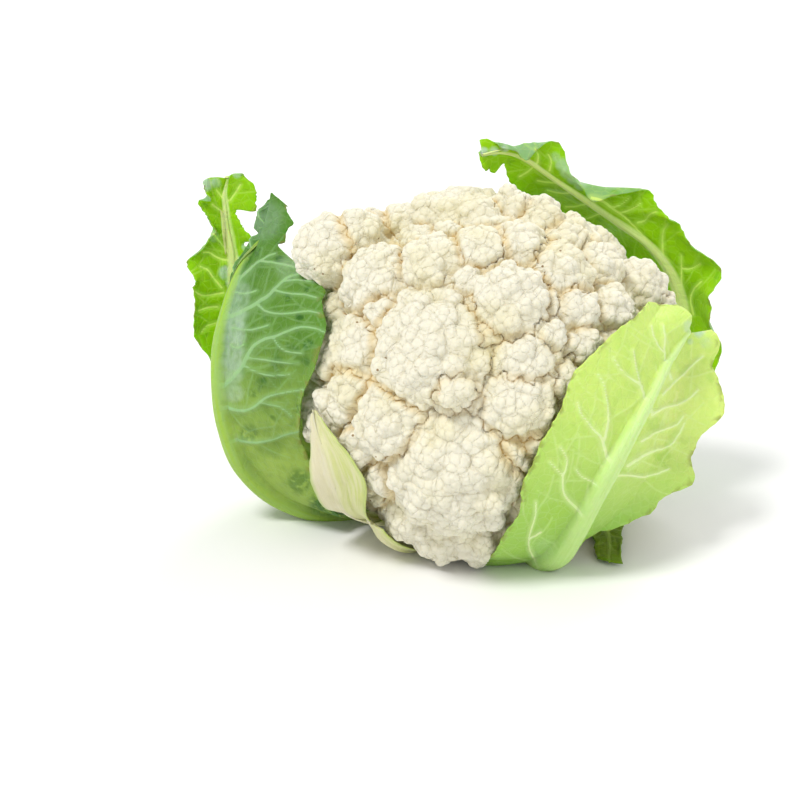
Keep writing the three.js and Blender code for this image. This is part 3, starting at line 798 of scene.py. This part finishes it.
# Leaves, each on three rails from its root to its tip, as the part's source has them. The root is
# how far down the stalk a leaf starts and half its width there, the rib is its height and half its
# width, the belly is how far either half bows out, and the width is half the blade's.
LEAVES = {
    "leaf_right": {
        "outer": 1, "root": (68, 9), "rib": (9.5, 10.5), "belly": (4, -5), "wave": 2.2, "waves": 5,
        "slot": "leaf_lime", "length": 175, "width": 34, "teeth": 1.5, "frill": 1.2, "pitch": 27,
        "left": [
            (5, -71, 0), (0, -85, 20), (4.5, -70, 42), (14, -50, 62), (24, -30, 76), (34.5, -8.5, 80),
            (50.5, 15, 68), (70, 30, 49), (87, 31, 30),
        ],
        "mid": [
            (16, -69, -6), (27, -80, 23), (37, -67, 43), (46.5, -51, 55), (56, -37, 61),
            (65.5, -21, 60), (76, -2, 51), (84.5, 11, 40), (90.5, 20, 31),
        ],
        "right": [
            (27, -67, -8), (38, -80, 20), (53, -69, 28), (75, -62, 26), (90, -48, 24),
            (97, -32, 22), (106, -14, 17), (106, 4, 14), (100, 20, 20),
        ],
    },
    "leaf_left": {
        "outer": 1, "root": (60, 9), "rib": (8, 7), "belly": (3, 7), "wave": 1.6, "waves": 5,
        "slot": "leaf_dark", "length": 215, "width": 36, "teeth": 1.1, "frill": 1.0, "pitch": 28,
        "left": [
            (-60, -50, -44), (-84, -48, -46), (-98, -36, -48), (-106, -18, -46), (-110, 2, -42),
            (-112, 20, -36), (-112, 36, -26), (-110, 48, -18), (-106, 58, -12), (-100.5, 62.5, -8),
            (-103.5, 68, -8), (-97, 75.5, -4),
        ],
        "mid": [
            (-60, -58, -30), (-88, -54, -24), (-106, -40, -14), (-114, -22, -6), (-117, -4, 0),
            (-117, 14, 2), (-113, 32, 2), (-108, 47, -2), (-101.5, 56, -3), (-96, 62, -3),
            (-95, 70, -3), (-92, 79, -1),
        ],
        "right": [
            (-56, -62, -16), (-66, -62, -4), (-75, -51, 4), (-80, -33, 14), (-80, -15, 31),
            (-74, 8, 49), (-71, 24, 50), (-74, 40, 40), (-86, 51, 16), (-91.5, 61, 4),
            (-87, 69.5, 4), (-88.5, 76, 1),
        ],
    },
    "leaf_rear_left": {
        "outer": -1, "root": (68, 9), "rib": (7, 7), "belly": (3, 3), "wave": 3, "waves": 5,
        "slot": "leaf_bright", "length": 190, "width": 22, "teeth": 1.8, "frill": 1.5, "pitch": 18,
        "left": [
            (-52, -51, -58), (-92, -38, -56), (-117, -12, -48), (-127, 16, -40), (-131, 36, -38),
            (-132, 49, -38), (-123.5, 61, -38), (-124.5, 71, -36), (-126, 79, -32), (-126.5, 86, -29),
        ],
        "mid": [
            (-50, -43, -62), (-80, -28, -62), (-99, -4, -56), (-109, 22, -50), (-112, 40, -46),
            (-112.6, 55, -43), (-114.4, 64, -41), (-115.8, 73, -39), (-116.8, 81, -36),
            (-115, 88.5, -33),
        ],
        "right": [
            (-46, -33, -66), (-66, -10, -70), (-80, 12, -60), (-88, 32, -50), (-95, 46, -44),
            (-105, 59, -41), (-108.5, 66, -39), (-109, 73, -37), (-103, 81, -33), (-106, 89.5, -30),
        ],
    },
    "leaf_rear_right": {
        "outer": -1, "root": (60, 9), "rib": (8, 8), "belly": (3, 3), "wave": 3, "waves": 6,
        "slot": "leaf_bright", "length": 240, "width": 26, "teeth": 1.8, "frill": 1.5, "pitch": 22,
        "left": [
            (36, -32, -66), (56, -4, -72), (69, 20, -60), (70, 36, -52), (66, 48, -46),
            (58, 55, -47), (45, 61, -50), (33, 70, -48), (20, 79, -33), (11, 89, -16),
            (3, 94, -8), (-2.5, 97, -2),
        ],
        "mid": [
            (40, -42, -62), (66, -20, -60), (82, 4, -50), (88, 26, -40), (84, 43, -33),
            (74, 57, -28), (60, 67.5, -25), (44, 78.5, -21), (30, 88.5, -16), (18, 96.5, -10),
            (8, 99.5, -5), (-1, 98.5, -1),
        ],
        "right": [
            (24, -46, -56), (44, -52, -56), (62, -46, -52), (79, -36, -46), (90, -25, -40),
            (98, -12, -34), (103, 2, -28), (105, 14, -22), (102.5, 26, -18), (102, 35, -16),
            (104.5, 44, -15), (98, 54, -14), (93.5, 62, -14), (87, 70, -13), (79, 71, -12),
            (74, 82, -12), (62, 81.5, -12), (49, 82.5, -12), (39, 88, -11), (33, 100.5, -8),
            (25, 104, -5), (17, 101, -3), (8, 102.5, -1), (-2, 101, 0),
        ],
    },
    "leaf_rear": {
        "outer": -1, "root": (58, 9), "rib": (6, 6), "belly": (3, 3), "wave": 1.5, "waves": 4,
        "slot": "leaf_dark", "length": 120, "width": 26, "teeth": 1.2, "frill": 1.0, "pitch": 20,
        "left": [
            (-24, -8, -76), (-42, 10, -82), (-50, 30, -77), (-46, 48, -67), (-36, 64, -56),
            (-20, 75, -48),
        ],
        "mid": [
            (-10, -6, -78), (-14, 12, -92), (-16, 32, -88), (-16, 50, -79), (-14, 66, -64),
            (-12, 76, -50),
        ],
        "right": [
            (6, -6, -78), (16, 12, -92), (22, 34, -84), (18, 52, -75), (8, 67, -61),
            (-4, 77, -49),
        ],
    },
    "leaf_under_right": {
        "outer": -1, "root": (70, 8), "rib": (4, 5), "belly": (1, 1), "wave": 0.8, "waves": 3,
        "slot": "leaf_dark", "length": 95, "width": 8, "teeth": 0.8, "frill": 0.5, "pitch": 12,
        "left": [
            (28, -42, -44), (52, -54, -34), (61, -64, -16), (61.5, -71.5, 0), (61.5, -83.5, 24),
        ],
        "mid": [
            (22, -49, -44), (40, -57, -30), (51, -65, -14), (55.5, -72, 0), (56, -83, 23),
        ],
        "right": [
            (20, -56, -38), (32, -64, -26), (44, -69, -10), (49.5, -74, 4), (50, -81, 18),
        ],
    },
    "stub_left": {
        "outer": 1, "root": (56, 8), "rib": (4, 8), "belly": (1, 1), "wave": 0.4, "waves": 2,
        "slot": "leaf_pale", "length": 120, "width": 13, "teeth": 0.2, "frill": 0.2, "pitch": 0,
        "left": [
            (-46, -59, -23), (-70, -60, 10), (-77, -49, 28), (-78, -37, 36), (-78, -27, 41),
            (-77.5, -19, 43),
        ],
        "mid": [
            (-38, -62, -20), (-58, -60, 22), (-65, -48, 40), (-70, -34, 47), (-74, -23, 47),
            (-76, -15, 46),
        ],
        "right": [
            (-33, -65, -17), (-50, -57, 38), (-52, -48, 53), (-58, -39, 56), (-65, -30, 55),
            (-73, -19, 51),
        ],
    },
    "stub_front": {
        "outer": 1, "root": (66, 8), "rib": (5, 8), "belly": (1, 1), "wave": 0.3, "waves": 2,
        "slot": "leaf_pale", "length": 80, "width": 9, "teeth": 0.2, "frill": 0.2, "pitch": 0,
        "left": [(-22, -62, -18), (-42, -71, 6), (-50, -68, 17), (-54, -62, 23)],
        "mid": [(-15, -65, -14), (-33, -75, 9), (-44, -73, 22), (-50, -66, 30)],
        "right": [(-8, -68, -10), (-26, -78, 12), (-38, -76, 27), (-45, -69, 37)],
    },
}
GRID_STEP = 0.72  # millimetres between a blade's points
PIXEL = 0.45  # millimetres, at the upright face through the middle
MIDDLE_PIXEL = (485, 375)
VEIN_REACH = 6.0  # millimetres from a vein within which the gap to it is measured
VEIN_FAR = 6.0  # the gap where no vein is near, in half widths of a vein
VEIN_THIN = 0.42  # half the width of the thinnest
VEIN_TAPER = 0.7  # the share of its width that a vein loses on its way
VEIN_RELIEF = 0.6
TWIG_RELIEF = 0.18
TWIG_REACH = 17.0  # millimetres, as are the step between two and the part of a grown vein
TWIG_STEP = 7.5
TWIG_PARTS = 5
GROWN_FROM = 0.14  # where veins that aren't drawn leave the rib, as shares of its length
GROWN_TO = 0.94
GROWN_PART = 3.2
GROWN_WIDTH = 1.9
GROWN_THINNING = 1.1
QUILT = 0.9  # how far the blade sinks between veins
MARGIN_THINNING = 0.55
TOOTH = 4.3  # the margin's teeth and curls: how long one is, in millimetres
TOOTH_GROUP = 6.1
CURL = 2.9
CURL_GROUP = 5.3
ROOT_WHOLE = 0.2  # no teeth or frill nearer the root than this share of the length
RIB_TAPER = 0.85
LEAF_SEED = 100
LEAF_SEED_STEP = 31

# The larger veins that can be seen, where they are in a frame of 800 by 800 pixels: for each leaf
# the half that they are on, or 0 for both, then each one's width in millimetres and its places.
DRAWN_VEINS = {
    "leaf_right": (0, [
        (1.9, [(614, 474), (607, 460), (603, 446), (600, 436), (592, 428), (586, 420), (580, 412),
               (577, 402)]),
        (1.4, [(602, 441), (606, 426), (607, 412), (605, 396), (602, 382), (597, 374)]),
        (1.6, [(651, 412), (644, 401), (640, 388), (636, 376), (633, 362), (632, 350)]),
        (1.2, [(640, 386), (630, 378), (622, 372), (616, 364), (612, 357)]),
        (1.4, [(669, 378), (664, 366), (662, 352), (663, 340), (662, 326)]),
        (1.0, [(662, 352), (656, 345), (652, 336), (650, 326)]),
        (1.6, [(586, 518), (577, 507), (568, 498), (563, 490), (562, 476), (566, 464), (566, 456),
               (560, 446)]),
        (1.0, [(562, 474), (556, 467), (550, 461)]),
        (1.1, [(606, 489), (597, 483), (588, 478), (580, 474), (575, 467)]),
        (1.3, [(548, 566), (537, 559), (529, 545), (530, 530), (535, 515), (536, 500)]),
        (1.0, [(529, 536), (541, 529)]),
        (1.4, [(626, 464), (638, 456), (652, 449), (662, 447), (670, 443), (677, 434), (683, 422)]),
        (1.1, [(640, 440), (652, 432), (662, 428), (674, 424), (682, 415)]),
        (1.2, [(650, 414), (659, 408), (668, 405), (678, 403), (689, 397), (697, 390)]),
        (1.1, [(660, 394), (668, 386), (676, 378), (684, 372), (692, 363), (702, 355)]),
        (1.0, [(614, 474), (626, 473), (640, 475), (655, 472), (668, 468)]),
    ]),
    "leaf_left": (1, [
        (1.9, [(239, 286), (246, 276), (255, 268), (264, 261), (276, 255)]),
        (1.1, [(264, 262), (278, 265), (290, 268), (300, 270)]),
        (2.3, [(228, 319), (240, 314), (252, 308), (262, 302), (271, 296), (278, 289), (286, 281),
               (296, 276), (308, 274), (317, 277)]),
        (1.2, [(260, 304), (268, 311), (280, 314), (295, 313), (310, 311), (321, 313)]),
        (1.1, [(277, 291), (290, 294), (305, 295), (318, 298)]),
        (1.0, [(285, 282), (300, 281), (316, 282)]),
        (2.3, [(223, 389), (232, 380), (240, 372), (247, 362), (251, 353), (257, 345), (266, 339),
               (278, 336), (290, 331), (302, 327), (316, 328), (326, 332)]),
        (1.1, [(250, 357), (258, 358), (270, 359), (285, 361), (300, 362)]),
        (1.1, [(246, 364), (254, 368), (263, 372), (275, 374), (292, 373)]),
        (1.0, [(276, 337), (282, 346), (291, 351), (304, 352)]),
        (1.7, [(225, 403), (236, 408), (247, 409), (257, 405), (265, 398), (273, 394), (286, 391),
               (302, 389), (320, 391)]),
        (1.0, [(262, 400), (274, 403), (285, 407), (293, 415)]),
        (1.4, [(236, 436), (248, 440), (262, 440), (276, 437), (290, 432), (308, 430)]),
        (1.0, [(236, 328), (250, 330), (262, 328), (271, 325)]),
        (1.0, [(240, 293), (250, 294), (259, 291)]),
        (0.9, [(234, 345), (240, 348), (247, 344)]),
    ]),
    "leaf_rear_left": (0, [
        (1.4, [(233, 257), (226, 248), (220, 241), (215, 234)]),
        (1.3, [(233, 260), (224, 259), (216, 256), (210, 252), (204, 252)]),
        (1.1, [(222, 287), (213, 276), (208, 269), (201, 266)]),
        (1.1, [(224, 292), (214, 294), (203, 295), (196, 291)]),
        (1.0, [(218, 306), (208, 307), (199, 310)]),
        (1.0, [(216, 322), (208, 325), (202, 331)]),
        (1.0, [(229, 200), (222, 196), (217, 189)]),
        (1.0, [(231, 199), (236, 192), (241, 184)]),
        (0.9, [(229, 214), (221, 210), (213, 204)]),
    ]),
    "leaf_rear_right": (0, [
        (1.2, [(538, 162), (539, 155), (536, 149)]),
        (1.1, [(550, 170), (552, 161), (549, 154)]),
        (1.5, [(592, 198), (604, 201), (613, 208), (621, 213), (629, 220), (637, 228), (646, 238)]),
        (1.1, [(613, 207), (622, 204), (630, 197)]),
        (1.1, [(622, 212), (632, 209), (641, 203)]),
        (1.1, [(638, 222), (646, 220), (650, 214), (657, 211)]),
        (1.6, [(668, 270), (664, 256), (663, 243), (664, 230), (668, 224)]),
        (1.4, [(682, 300), (682, 283), (682, 268), (682, 254)]),
        (1.0, [(682, 268), (692, 268), (701, 263)]),
        (1.1, [(694, 314), (691, 300), (694, 289), (702, 281)]),
        (1.2, [(537, 163), (530, 170), (520, 176)]),
        (1.0, [(558, 183), (548, 182), (538, 180)]),
        (1.1, [(604, 212), (596, 215), (588, 218)]),
        (1.1, [(588, 203), (576, 206), (566, 206)]),
        (1.0, [(572, 192), (560, 193), (548, 190)]),
    ]),
}


# Waxy pale places; dark spots and painted shadow. In pixels of the same frame: right, down, radius,
# strength.
BLOOMS = {
    "leaf_left": [
        (264, 220, 26, 0.22),
        (243, 292, 13, 0.35), (241, 302, 13, 0.4), (239, 314, 14, 0.45), (238, 326, 14, 0.5),
        (237, 338, 14, 0.5), (236, 350, 14, 0.5), (235, 362, 14, 0.45), (235, 374, 13, 0.35),
        (236, 392, 12, 0.35), (290, 268, 18, 0.15),
    ],
    "leaf_rear_left": [
        (206, 184, 9, 0.8), (216, 182, 7, 0.6), (226, 272, 9, 1.0), (234, 280, 10, 1.0),
        (240, 262, 8, 0.9), (247, 246, 6, 0.7), (214, 236, 7, 0.3), (238, 173, 6, 0.5),
    ],
    "leaf_rear_right": [
        (484, 151, 6, 0.7), (494, 150, 6, 0.8), (505, 148, 5, 0.6), (556, 156, 6, 0.5),
        (562, 163, 8, 0.5), (568, 170, 9, 0.6), (574, 176, 9, 0.6), (581, 183, 8, 0.6),
    ],
    "leaf_right": [
        (699, 330, 9, 0.8), (688, 326, 8, 0.5), (706, 342, 8, 0.35), (690, 341, 4, 0.5),
        (545, 552, 20, 0.15),
    ],
}
SPOTS_AND_SHADE = {
    "leaf_left": [
        (289, 298, 5, 0.8), (301, 318, 6, 0.9), (309, 290, 5, 0.7), (310, 344, 7, 0.8),
        (262, 382, 7, 0.5), (255, 392, 6, 0.5), (280, 260, 6, 0.8), (262, 262, 6, 0.5),
        (300, 408, 6, 0.7), (306, 425, 7, 0.7), (250, 432, 12, 0.5), (280, 362, 9, 0.5),
        # (330, 505) and (300, 480) are painted shadow on the leaf's lower part.
        (248, 258, 8, 0.6), (258, 252, 7, 0.6), (298, 350, 6, 0.5), (330, 505, 26, 0.9),
        (300, 480, 16, 0.6),
    ],
    "leaf_rear_left": [(205, 205, 5, 0.7), (222, 186, 6, 0.5), (236, 178, 6, 0.4)],
    "leaf_rear_right": [(512, 160, 6, 0.8), (486, 153, 5, 0.7), (633, 221, 5, 0.4)],
    "leaf_right": [(688, 341, 4, 0.6), (660, 455, 14, 0.5), (655, 425, 12, 0.4),
                   (550, 515, 16, 0.4), (560, 508, 12, 0.4)],
}


def along(points, t):
    """A smooth line through evenly counted stations, at places from 0 to 1 along it."""
    last = len(points) - 1
    spot = np.minimum(last - 1e-9, t * last)
    i = np.floor(spot).astype(int)
    x = (spot - i)[:, None]
    a, b, c, d = (points[np.clip(i + k, 0, last)] for k in (-1, 0, 1, 2))
    return (a * (-0.5 * x + x**2 - 0.5 * x**3) + b * (1 - 2.5 * x**2 + 1.5 * x**3)
            + c * (0.5 * x + 2 * x**2 - 1.5 * x**3) + d * (-0.5 * x**2 + 0.5 * x**3))


def rails(leaf):
    """The three rails in the frame, with a first station on the stem put before the others."""
    left, mid, right = (seen(leaf[name]) for name in ("left", "mid", "right"))
    height, half = leaf["root"]
    foot = MIDDLE - AXIS * height
    bearing = mid[0] - foot
    bearing = unit(bearing - (bearing @ AXIS) * AXIS)
    side = np.cross(AXIS, bearing) * leaf["outer"]
    root = foot + bearing * (STEM_RADIUS - 6)
    return (np.vstack([root - side * half, left]), np.vstack([root, mid]),
            np.vstack([root + side * half, right]))


def wander(t, seed, count, size):
    """A smooth seeded line that strays either way."""
    rng = np.random.default_rng(seed)
    return np.interp(t, np.linspace(0, 1, count), rng.uniform(-size, size, count))


def grown_veins(leaf, half, side, rng):
    """Side veins of one half of a blade, in millimetres across and along it laid flat."""
    made = []
    start = GROWN_FROM * leaf["length"]
    while start < GROWN_TO * leaf["length"]:
        heading = math.radians(rng.uniform(42, 60))
        line = [(0.0, start)]
        while len(line) < 18 and line[-1][0] < half:
            x, y = line[-1]
            heading -= math.radians(rng.uniform(-7, 9))
            line.append((x + GROWN_PART * math.sin(heading), y + GROWN_PART * math.cos(heading)))
        width = GROWN_WIDTH - GROWN_THINNING * start / leaf["length"]
        made.append((width, [(side * x, y) for x, y in line]))
        start += leaf["pitch"] * rng.uniform(0.7, 1.1)
    return made


def twigs(lines, reach, step, rng):
    """Smaller veins that leave each vein by turns on either side, bending the way it goes."""
    made = []
    for width, line in lines:
        line = np.asarray(line, float)
        lengths = np.concatenate([[0], np.cumsum(np.linalg.norm(np.diff(line, axis=0), axis=1))])
        turn = rng.choice((-1, 1))
        for spot in np.arange(rng.uniform(0.3, 0.8) * step, lengths[-1], step):
            place = np.array([np.interp(spot, lengths, line[:, i]) for i in (0, 1)])
            ahead = np.array([np.interp(spot + 1, lengths, line[:, i]) for i in (0, 1)]) - place
            heading = math.atan2(ahead[1], ahead[0]) + turn * math.radians(rng.uniform(38, 66))
            twig = [place]
            for _ in range(TWIG_PARTS):
                heading -= turn * math.radians(rng.uniform(-6, 14))
                move = reach * rng.uniform(0.12, 0.26)
                twig.append(twig[-1] + move * np.array([math.cos(heading), math.sin(heading)]))
            made.append((0.5 * width, twig))
            turn = -turn
    return made


def vein_gap(spots, lines):
    """How far each spot is from the nearest vein, in half widths of that vein."""
    gap = np.full(len(spots), VEIN_FAR)
    for width, line in lines:
        line = along(np.asarray(line, float), np.linspace(0, 1, 2 * len(line)))
        low, high = line.min(0) - VEIN_REACH, line.max(0) + VEIN_REACH
        near = np.flatnonzero(np.all((spots > low) & (spots < high), axis=1))
        here, best, count = spots[near], gap[near], len(line) - 1
        for k in range(count):
            start, step = line[k], line[k + 1] - line[k]
            share = np.clip(((here - start) @ step) / (step @ step), 0, 1)
            away = np.linalg.norm(here - start - share[:, None] * step, axis=1)
            half = np.maximum(VEIN_THIN, 0.5 * width * (1 - VEIN_TAPER * (k + share) / count))
            best = np.minimum(best, away / half)
        gap[near] = best
    return gap


def shown(points):
    """Where points in the frame are seen, in millimetres right and up of the middle."""
    way = points - MIDDLE
    closer = (way @ NEAR) / EYE[2]
    right = (way @ RIGHT - closer * EYE[0]) / (1 - closer)
    up = (way @ UP - closer * EYE[1]) / (1 - closer)
    return np.stack([right, up], -1)


def vein_gaps(name, leaf, place, flat, seed):
    """The gap to the larger veins and to their twigs, for each point of a blade."""
    rng = np.random.default_rng(seed)
    spots = flat.reshape(-1, 2)
    gap = np.full(len(spots), VEIN_FAR)
    twig = np.full(len(spots), VEIN_FAR)
    if not leaf["pitch"]:
        return gap.reshape(flat.shape[:2]), twig.reshape(flat.shape[:2])
    drawn_side, drawn = DRAWN_VEINS.get(name, (None, []))
    for side in (-1, 1):
        own = np.flatnonzero(spots[:, 0] * side >= 0)
        if drawn_side in (0, side):
            lines = [(width, (np.array(line, float) - MIDDLE_PIXEL) * (PIXEL, -PIXEL))
                     for width, line in drawn]
            here = shown(place.reshape(-1, 3)[own])
        else:
            lines = grown_veins(leaf, leaf["width"] * 1.3, side, rng)
            here = spots[own]
        gap[own] = vein_gap(here, lines)
        twig[own] = vein_gap(here, twigs(lines, TWIG_REACH, TWIG_STEP, rng))
    return gap.reshape(flat.shape[:2]), twig.reshape(flat.shape[:2])


def teeth(t, length, size, seed):
    """Cuts in the margin, as small pointed teeth on larger lobes."""
    x = t * length
    small = np.abs(((x / TOOTH + wander(t, seed, 40, 0.35)) % 1.0) - 0.35)
    large = np.sin(x / TOOTH_GROUP + wander(t, seed + 1, 24, 1.6)) + 0.6 * np.sin(x / 3.1)
    return size * (0.55 * (small - 0.3) + 0.45 * large)


def curls(t, length, seed):
    """Small curls of the margin, as two seeded waves along it."""
    x = t * length
    small = np.sin(x / CURL + wander(t, seed + 9, 20, 1.2))
    return small + 0.7 * np.sin(x / CURL_GROUP + 1 + wander(t, seed + 19, 14, 1.5))


def blade_rows(leaf, s, t, seed):
    """The blade's inner face and its rib's line, over a grid of s across and t along."""
    left, mid, right = rails(leaf)
    rib = along(mid, t)[:, None]
    margins = {-1: along(left, t)[:, None], 1: along(right, t)[:, None]}
    out = np.abs(s)
    away = unit(rib - MIDDLE)
    place = np.zeros((len(t), len(s), 3))
    fade = smoothstep(t, ROOT_WHOLE, 2 * ROOT_WHOLE)
    for index, sign in enumerate((-1, 1)):
        own = (s < 0) if sign < 0 else (s >= 0)
        margin = margins[sign]
        jag = teeth(t, leaf["length"], leaf["teeth"], seed + 5 * index) * fade
        half = np.linalg.norm(margin - rib, axis=2)
        stretch = 1 + (jag[:, None] / np.maximum(half, 6)) * out[own] ** 7
        bow = leaf["belly"][index] * 4 * out[own] * (1 - out[own]) * smoothstep(t, 0.1, 0.4)[:, None]
        phase = 0.6 if sign < 0 else 2.4
        ripple = np.sin(2 * math.pi * leaf["waves"] * t + phase)
        wave = leaf["wave"] * out[own] ** 3 * (smoothstep(t, 0.2, 0.45) * ripple)[:, None]
        curl = curls(t, leaf["length"], seed + index) * fade
        frill = leaf["frill"] * out[own] ** 5 * curl[:, None]
        share = (out[own] * stretch)[..., None]
        place[:, own] = rib + (margin - rib) * share + away * (bow + wave + frill)[..., None]
    way = place - MIDDLE
    length = np.linalg.norm(way, axis=2)
    short = np.maximum(0, girth(way / length[..., None]) + LEAF_GAP - length)
    place = place + way / length[..., None] * short[..., None]
    return place, rib


def daubs(places, blobs):
    """How far inside a soft round blob each place is, where both are in pixels of the frame."""
    share = np.zeros(len(places))
    for x, y, size, strength in blobs:
        away = np.hypot(places[:, 0] - x, places[:, 1] - y) / size
        share = np.maximum(share, strength * (1 - smoothstep(away, 0.45, 1.0)))
    return share


def blade_grid(leaf):
    """Places from -1 to 1 across a leaf, closer together by its margins, and from 0 to 1 along it."""
    half_count = max(10, round(leaf["width"] * 1.25 / GRID_STEP))
    side = np.linspace(0, 1, half_count + 1) ** 0.92
    along_count = max(60, round(leaf["length"] / GRID_STEP))
    return np.concatenate([-side[:0:-1], side]), np.linspace(0, 1, along_count + 1)


def laid_flat(leaf, place, t):
    """How far each place is across the leaf from its rib, and along it from its root."""
    steps = np.linalg.norm(np.diff(place, axis=1), axis=2)
    across = np.concatenate([np.zeros((len(t), 1)), np.cumsum(steps, axis=1)], 1)
    across = across - across[:, place.shape[1] // 2, None]
    return np.stack([across, np.repeat(t[:, None] * leaf["length"], place.shape[1], 1)], -1)


def blade_faces(leaf, s, t, place, ridge, off, vein, twig):
    """A blade's inner and outer face: its rib, raised veins, and the quilting between them."""
    normal = unit(np.cross(np.gradient(place, axis=1), np.gradient(place, axis=0))) * leaf["outer"]
    open_blade = smoothstep(off, 0.9, 1.6) * smoothstep(t, 0.12, 0.3)[:, None]
    open_blade = open_blade * (1 - np.abs(s) ** 6)
    raised = open_blade * (VEIN_RELIEF * np.exp(-(vein / 1.3) ** 2)
                           + TWIG_RELIEF * np.exp(-(twig / 1.6) ** 2))
    quilt = open_blade * (0.5 * smoothstep(vein, 0.8, 5.5) + 0.22 * smoothstep(twig, 0.6, 4.5))
    thin = 1 - MARGIN_THINNING * np.abs(s) ** 6
    inner = place + normal * (0.4 * raised - QUILT * quilt)[..., None]
    outer = place + normal * (BLADE * thin + ridge + raised - QUILT * quilt)[..., None]
    return inner, outer


def build_leaf(name, leaf, material, seed):
    """One leaf as a closed shell, with what its material reads kept at each point."""
    s, t = blade_grid(leaf)
    place, rib = blade_rows(leaf, s, t, seed)
    flat = laid_flat(leaf, place, t)
    vein, twig = vein_gaps(name, leaf, place, flat, seed)
    fade = (1 - RIB_TAPER * np.minimum(1, t * 1.05))[:, None]
    off = np.linalg.norm(place - rib, axis=2) / (leaf["rib"][1] * fade)
    ridge = leaf["rib"][0] * fade * np.sqrt(np.maximum(0, 1 - off**2))
    inner, outer = blade_faces(leaf, s, t, place, ridge, off, vein, twig)
    faces, points = shell_of(inner, outer, leaf["outer"])
    points[:, 2] = np.maximum(points[:, 2], 0)
    mesh = mesh_of(name, points, faces)
    pixels = shown(place.reshape(-1, 3)) / (PIXEL, -PIXEL) + MIDDLE_PIXEL
    paint = {
        "bloom": daubs(pixels, BLOOMS.get(name, [])),
        # Dark spots, with painted shadow among them.
        "spot": daubs(pixels, SPOTS_AND_SHADE.get(name, [])),
        "vein": vein,
        "twig": twig,
        "rib": np.minimum(off, 4),
        "edge": np.broadcast_to(np.abs(s), vein.shape),
        "across": flat[..., 0],
        "along": flat[..., 1],
    }
    for label, values in paint.items():
        keep(mesh, label, np.tile(values.ravel(), 2))
    keep(mesh, "side", np.repeat((0.0, 1.0), vein.size))
    mesh.shade_smooth()
    return piece_of(mesh, name + "_blade", material, leaf["slot"], name)


def shell_of(inner, outer, sign):
    """Faces and points of a closed shell between two grids of the same shape."""
    rows, cols = inner.shape[:2]
    far = rows * cols
    index = np.arange(far).reshape(rows, cols)
    a, b = index[:-1, :-1].ravel(), index[:-1, 1:].ravel()
    c, d = index[1:, 1:].ravel(), index[1:, :-1].ravel()
    faces = [np.stack([a, d, c, b], 1), np.stack([a + far, b + far, c + far, d + far], 1)]
    edges = ((index[:-1, 0], index[1:, 0], -1), (index[:-1, -1], index[1:, -1], 1),
             (index[0, :-1], index[0, 1:], 1), (index[-1, :-1], index[-1, 1:], -1))
    for start, end, way in edges:
        wall = np.stack([start, end, end + far, start + far], 1)
        faces.append(wall if way > 0 else wall[:, ::-1])
    faces = np.concatenate(faces)
    if sign < 0:
        faces = faces[:, ::-1]
    return faces.tolist(), np.concatenate([inner.reshape(-1, 3), outer.reshape(-1, 3)])


def build_leaves():
    """The pieces of all leaves, each in its own finish."""
    finishes = {name: leaf_finish(name, **look) for name, look in LEAF_LOOKS.items()}
    finishes["leaf_pale"] = base_finish()
    made = []
    for seed, (name, leaf) in enumerate(LEAVES.items()):
        # The leaf under the head takes the darker copy of its finish, as painted shade.
        finish = finishes["leaf_olive" if name == "leaf_under_right" else leaf["slot"]]
        made.append(build_leaf(name, leaf, finish, LEAF_SEED + LEAF_SEED_STEP * seed))
    return made


# Floor, light and camera

FLOOR_HALF = 6.0  # metres
FLOOR_COLOURS = ((0.9, 0.9, 0.9), (0.93, 0.93, 0.93))
WORLD_LIGHT = 0.63
SENSOR_WIDTH = 36.0


def build_stage():
    ground = bpy.data.meshes.new("floor")
    corners = [(FLOOR_HALF * x, FLOOR_HALF * y, 0) for x, y in ((-1, -1), (1, -1), (1, 1), (-1, 1))]
    ground.from_pydata(corners, [], [(0, 1, 2, 3)])
    floor = bpy.data.objects.new("floor", ground)
    f = Finish("floor", 0.9, 0.1)
    floor.data.materials.append(f.finish(f.blend(f.noise(3, 1), *FLOOR_COLOURS)))
    bpy.context.scene.collection.objects.link(floor)


def sunlight(name, strength, place, softness, colour=(1, 1, 1)):
    """Even light from far away, from the way given as right, up and near."""
    lamp = bpy.data.lights.new(name, "SUN")
    lamp.energy = strength
    lamp.color = colour
    lamp.angle = math.radians(softness)
    holder = bpy.data.objects.new(name, lamp)
    way = Vector(turned(place).tolist())
    holder.location = way.normalized()
    holder.rotation_euler = way.to_track_quat("Z", "Y").to_euler()
    bpy.context.scene.collection.objects.link(holder)


def build_light():
    """A white sky with a soft key from the upper left, a weak fill and light from behind."""
    world = bpy.data.worlds.new("studio")
    world.use_nodes = True
    sky = world.node_tree.nodes["Background"]
    sky.inputs["Color"].default_value = (1.0, 1.0, 1.0, 1.0)
    sky.inputs["Strength"].default_value = WORLD_LIGHT
    bpy.context.scene.world = world
    sunlight("key", 1.85, (-0.45, 0.75, 0.7), 18, (1.0, 0.99, 0.98))
    sunlight("fill", 0.3, (0.9, 0.3, 0.7), 50)
    sunlight("back", 1.1, (0.3, 0.8, -0.5), 30)
    bpy.context.scene.view_settings.view_transform = "Standard"


def build_camera():
    lens = bpy.data.cameras.new("camera")
    lens.sensor_width = SENSOR_WIDTH
    lens.lens = lens.sensor_width * EYE[2] / SEEN_WIDTH
    camera = bpy.data.objects.new("camera", lens)
    camera.location = Vector(((MIDDLE + turned(EYE)) * MM).tolist())
    camera.rotation_euler = Vector((-NEAR).tolist()).to_track_quat("-Z", "Y").to_euler()
    bpy.context.scene.collection.objects.link(camera)
    bpy.context.scene.camera = camera


build_curd(build_leaves())
build_stem()
build_stage()
build_light()
build_camera()
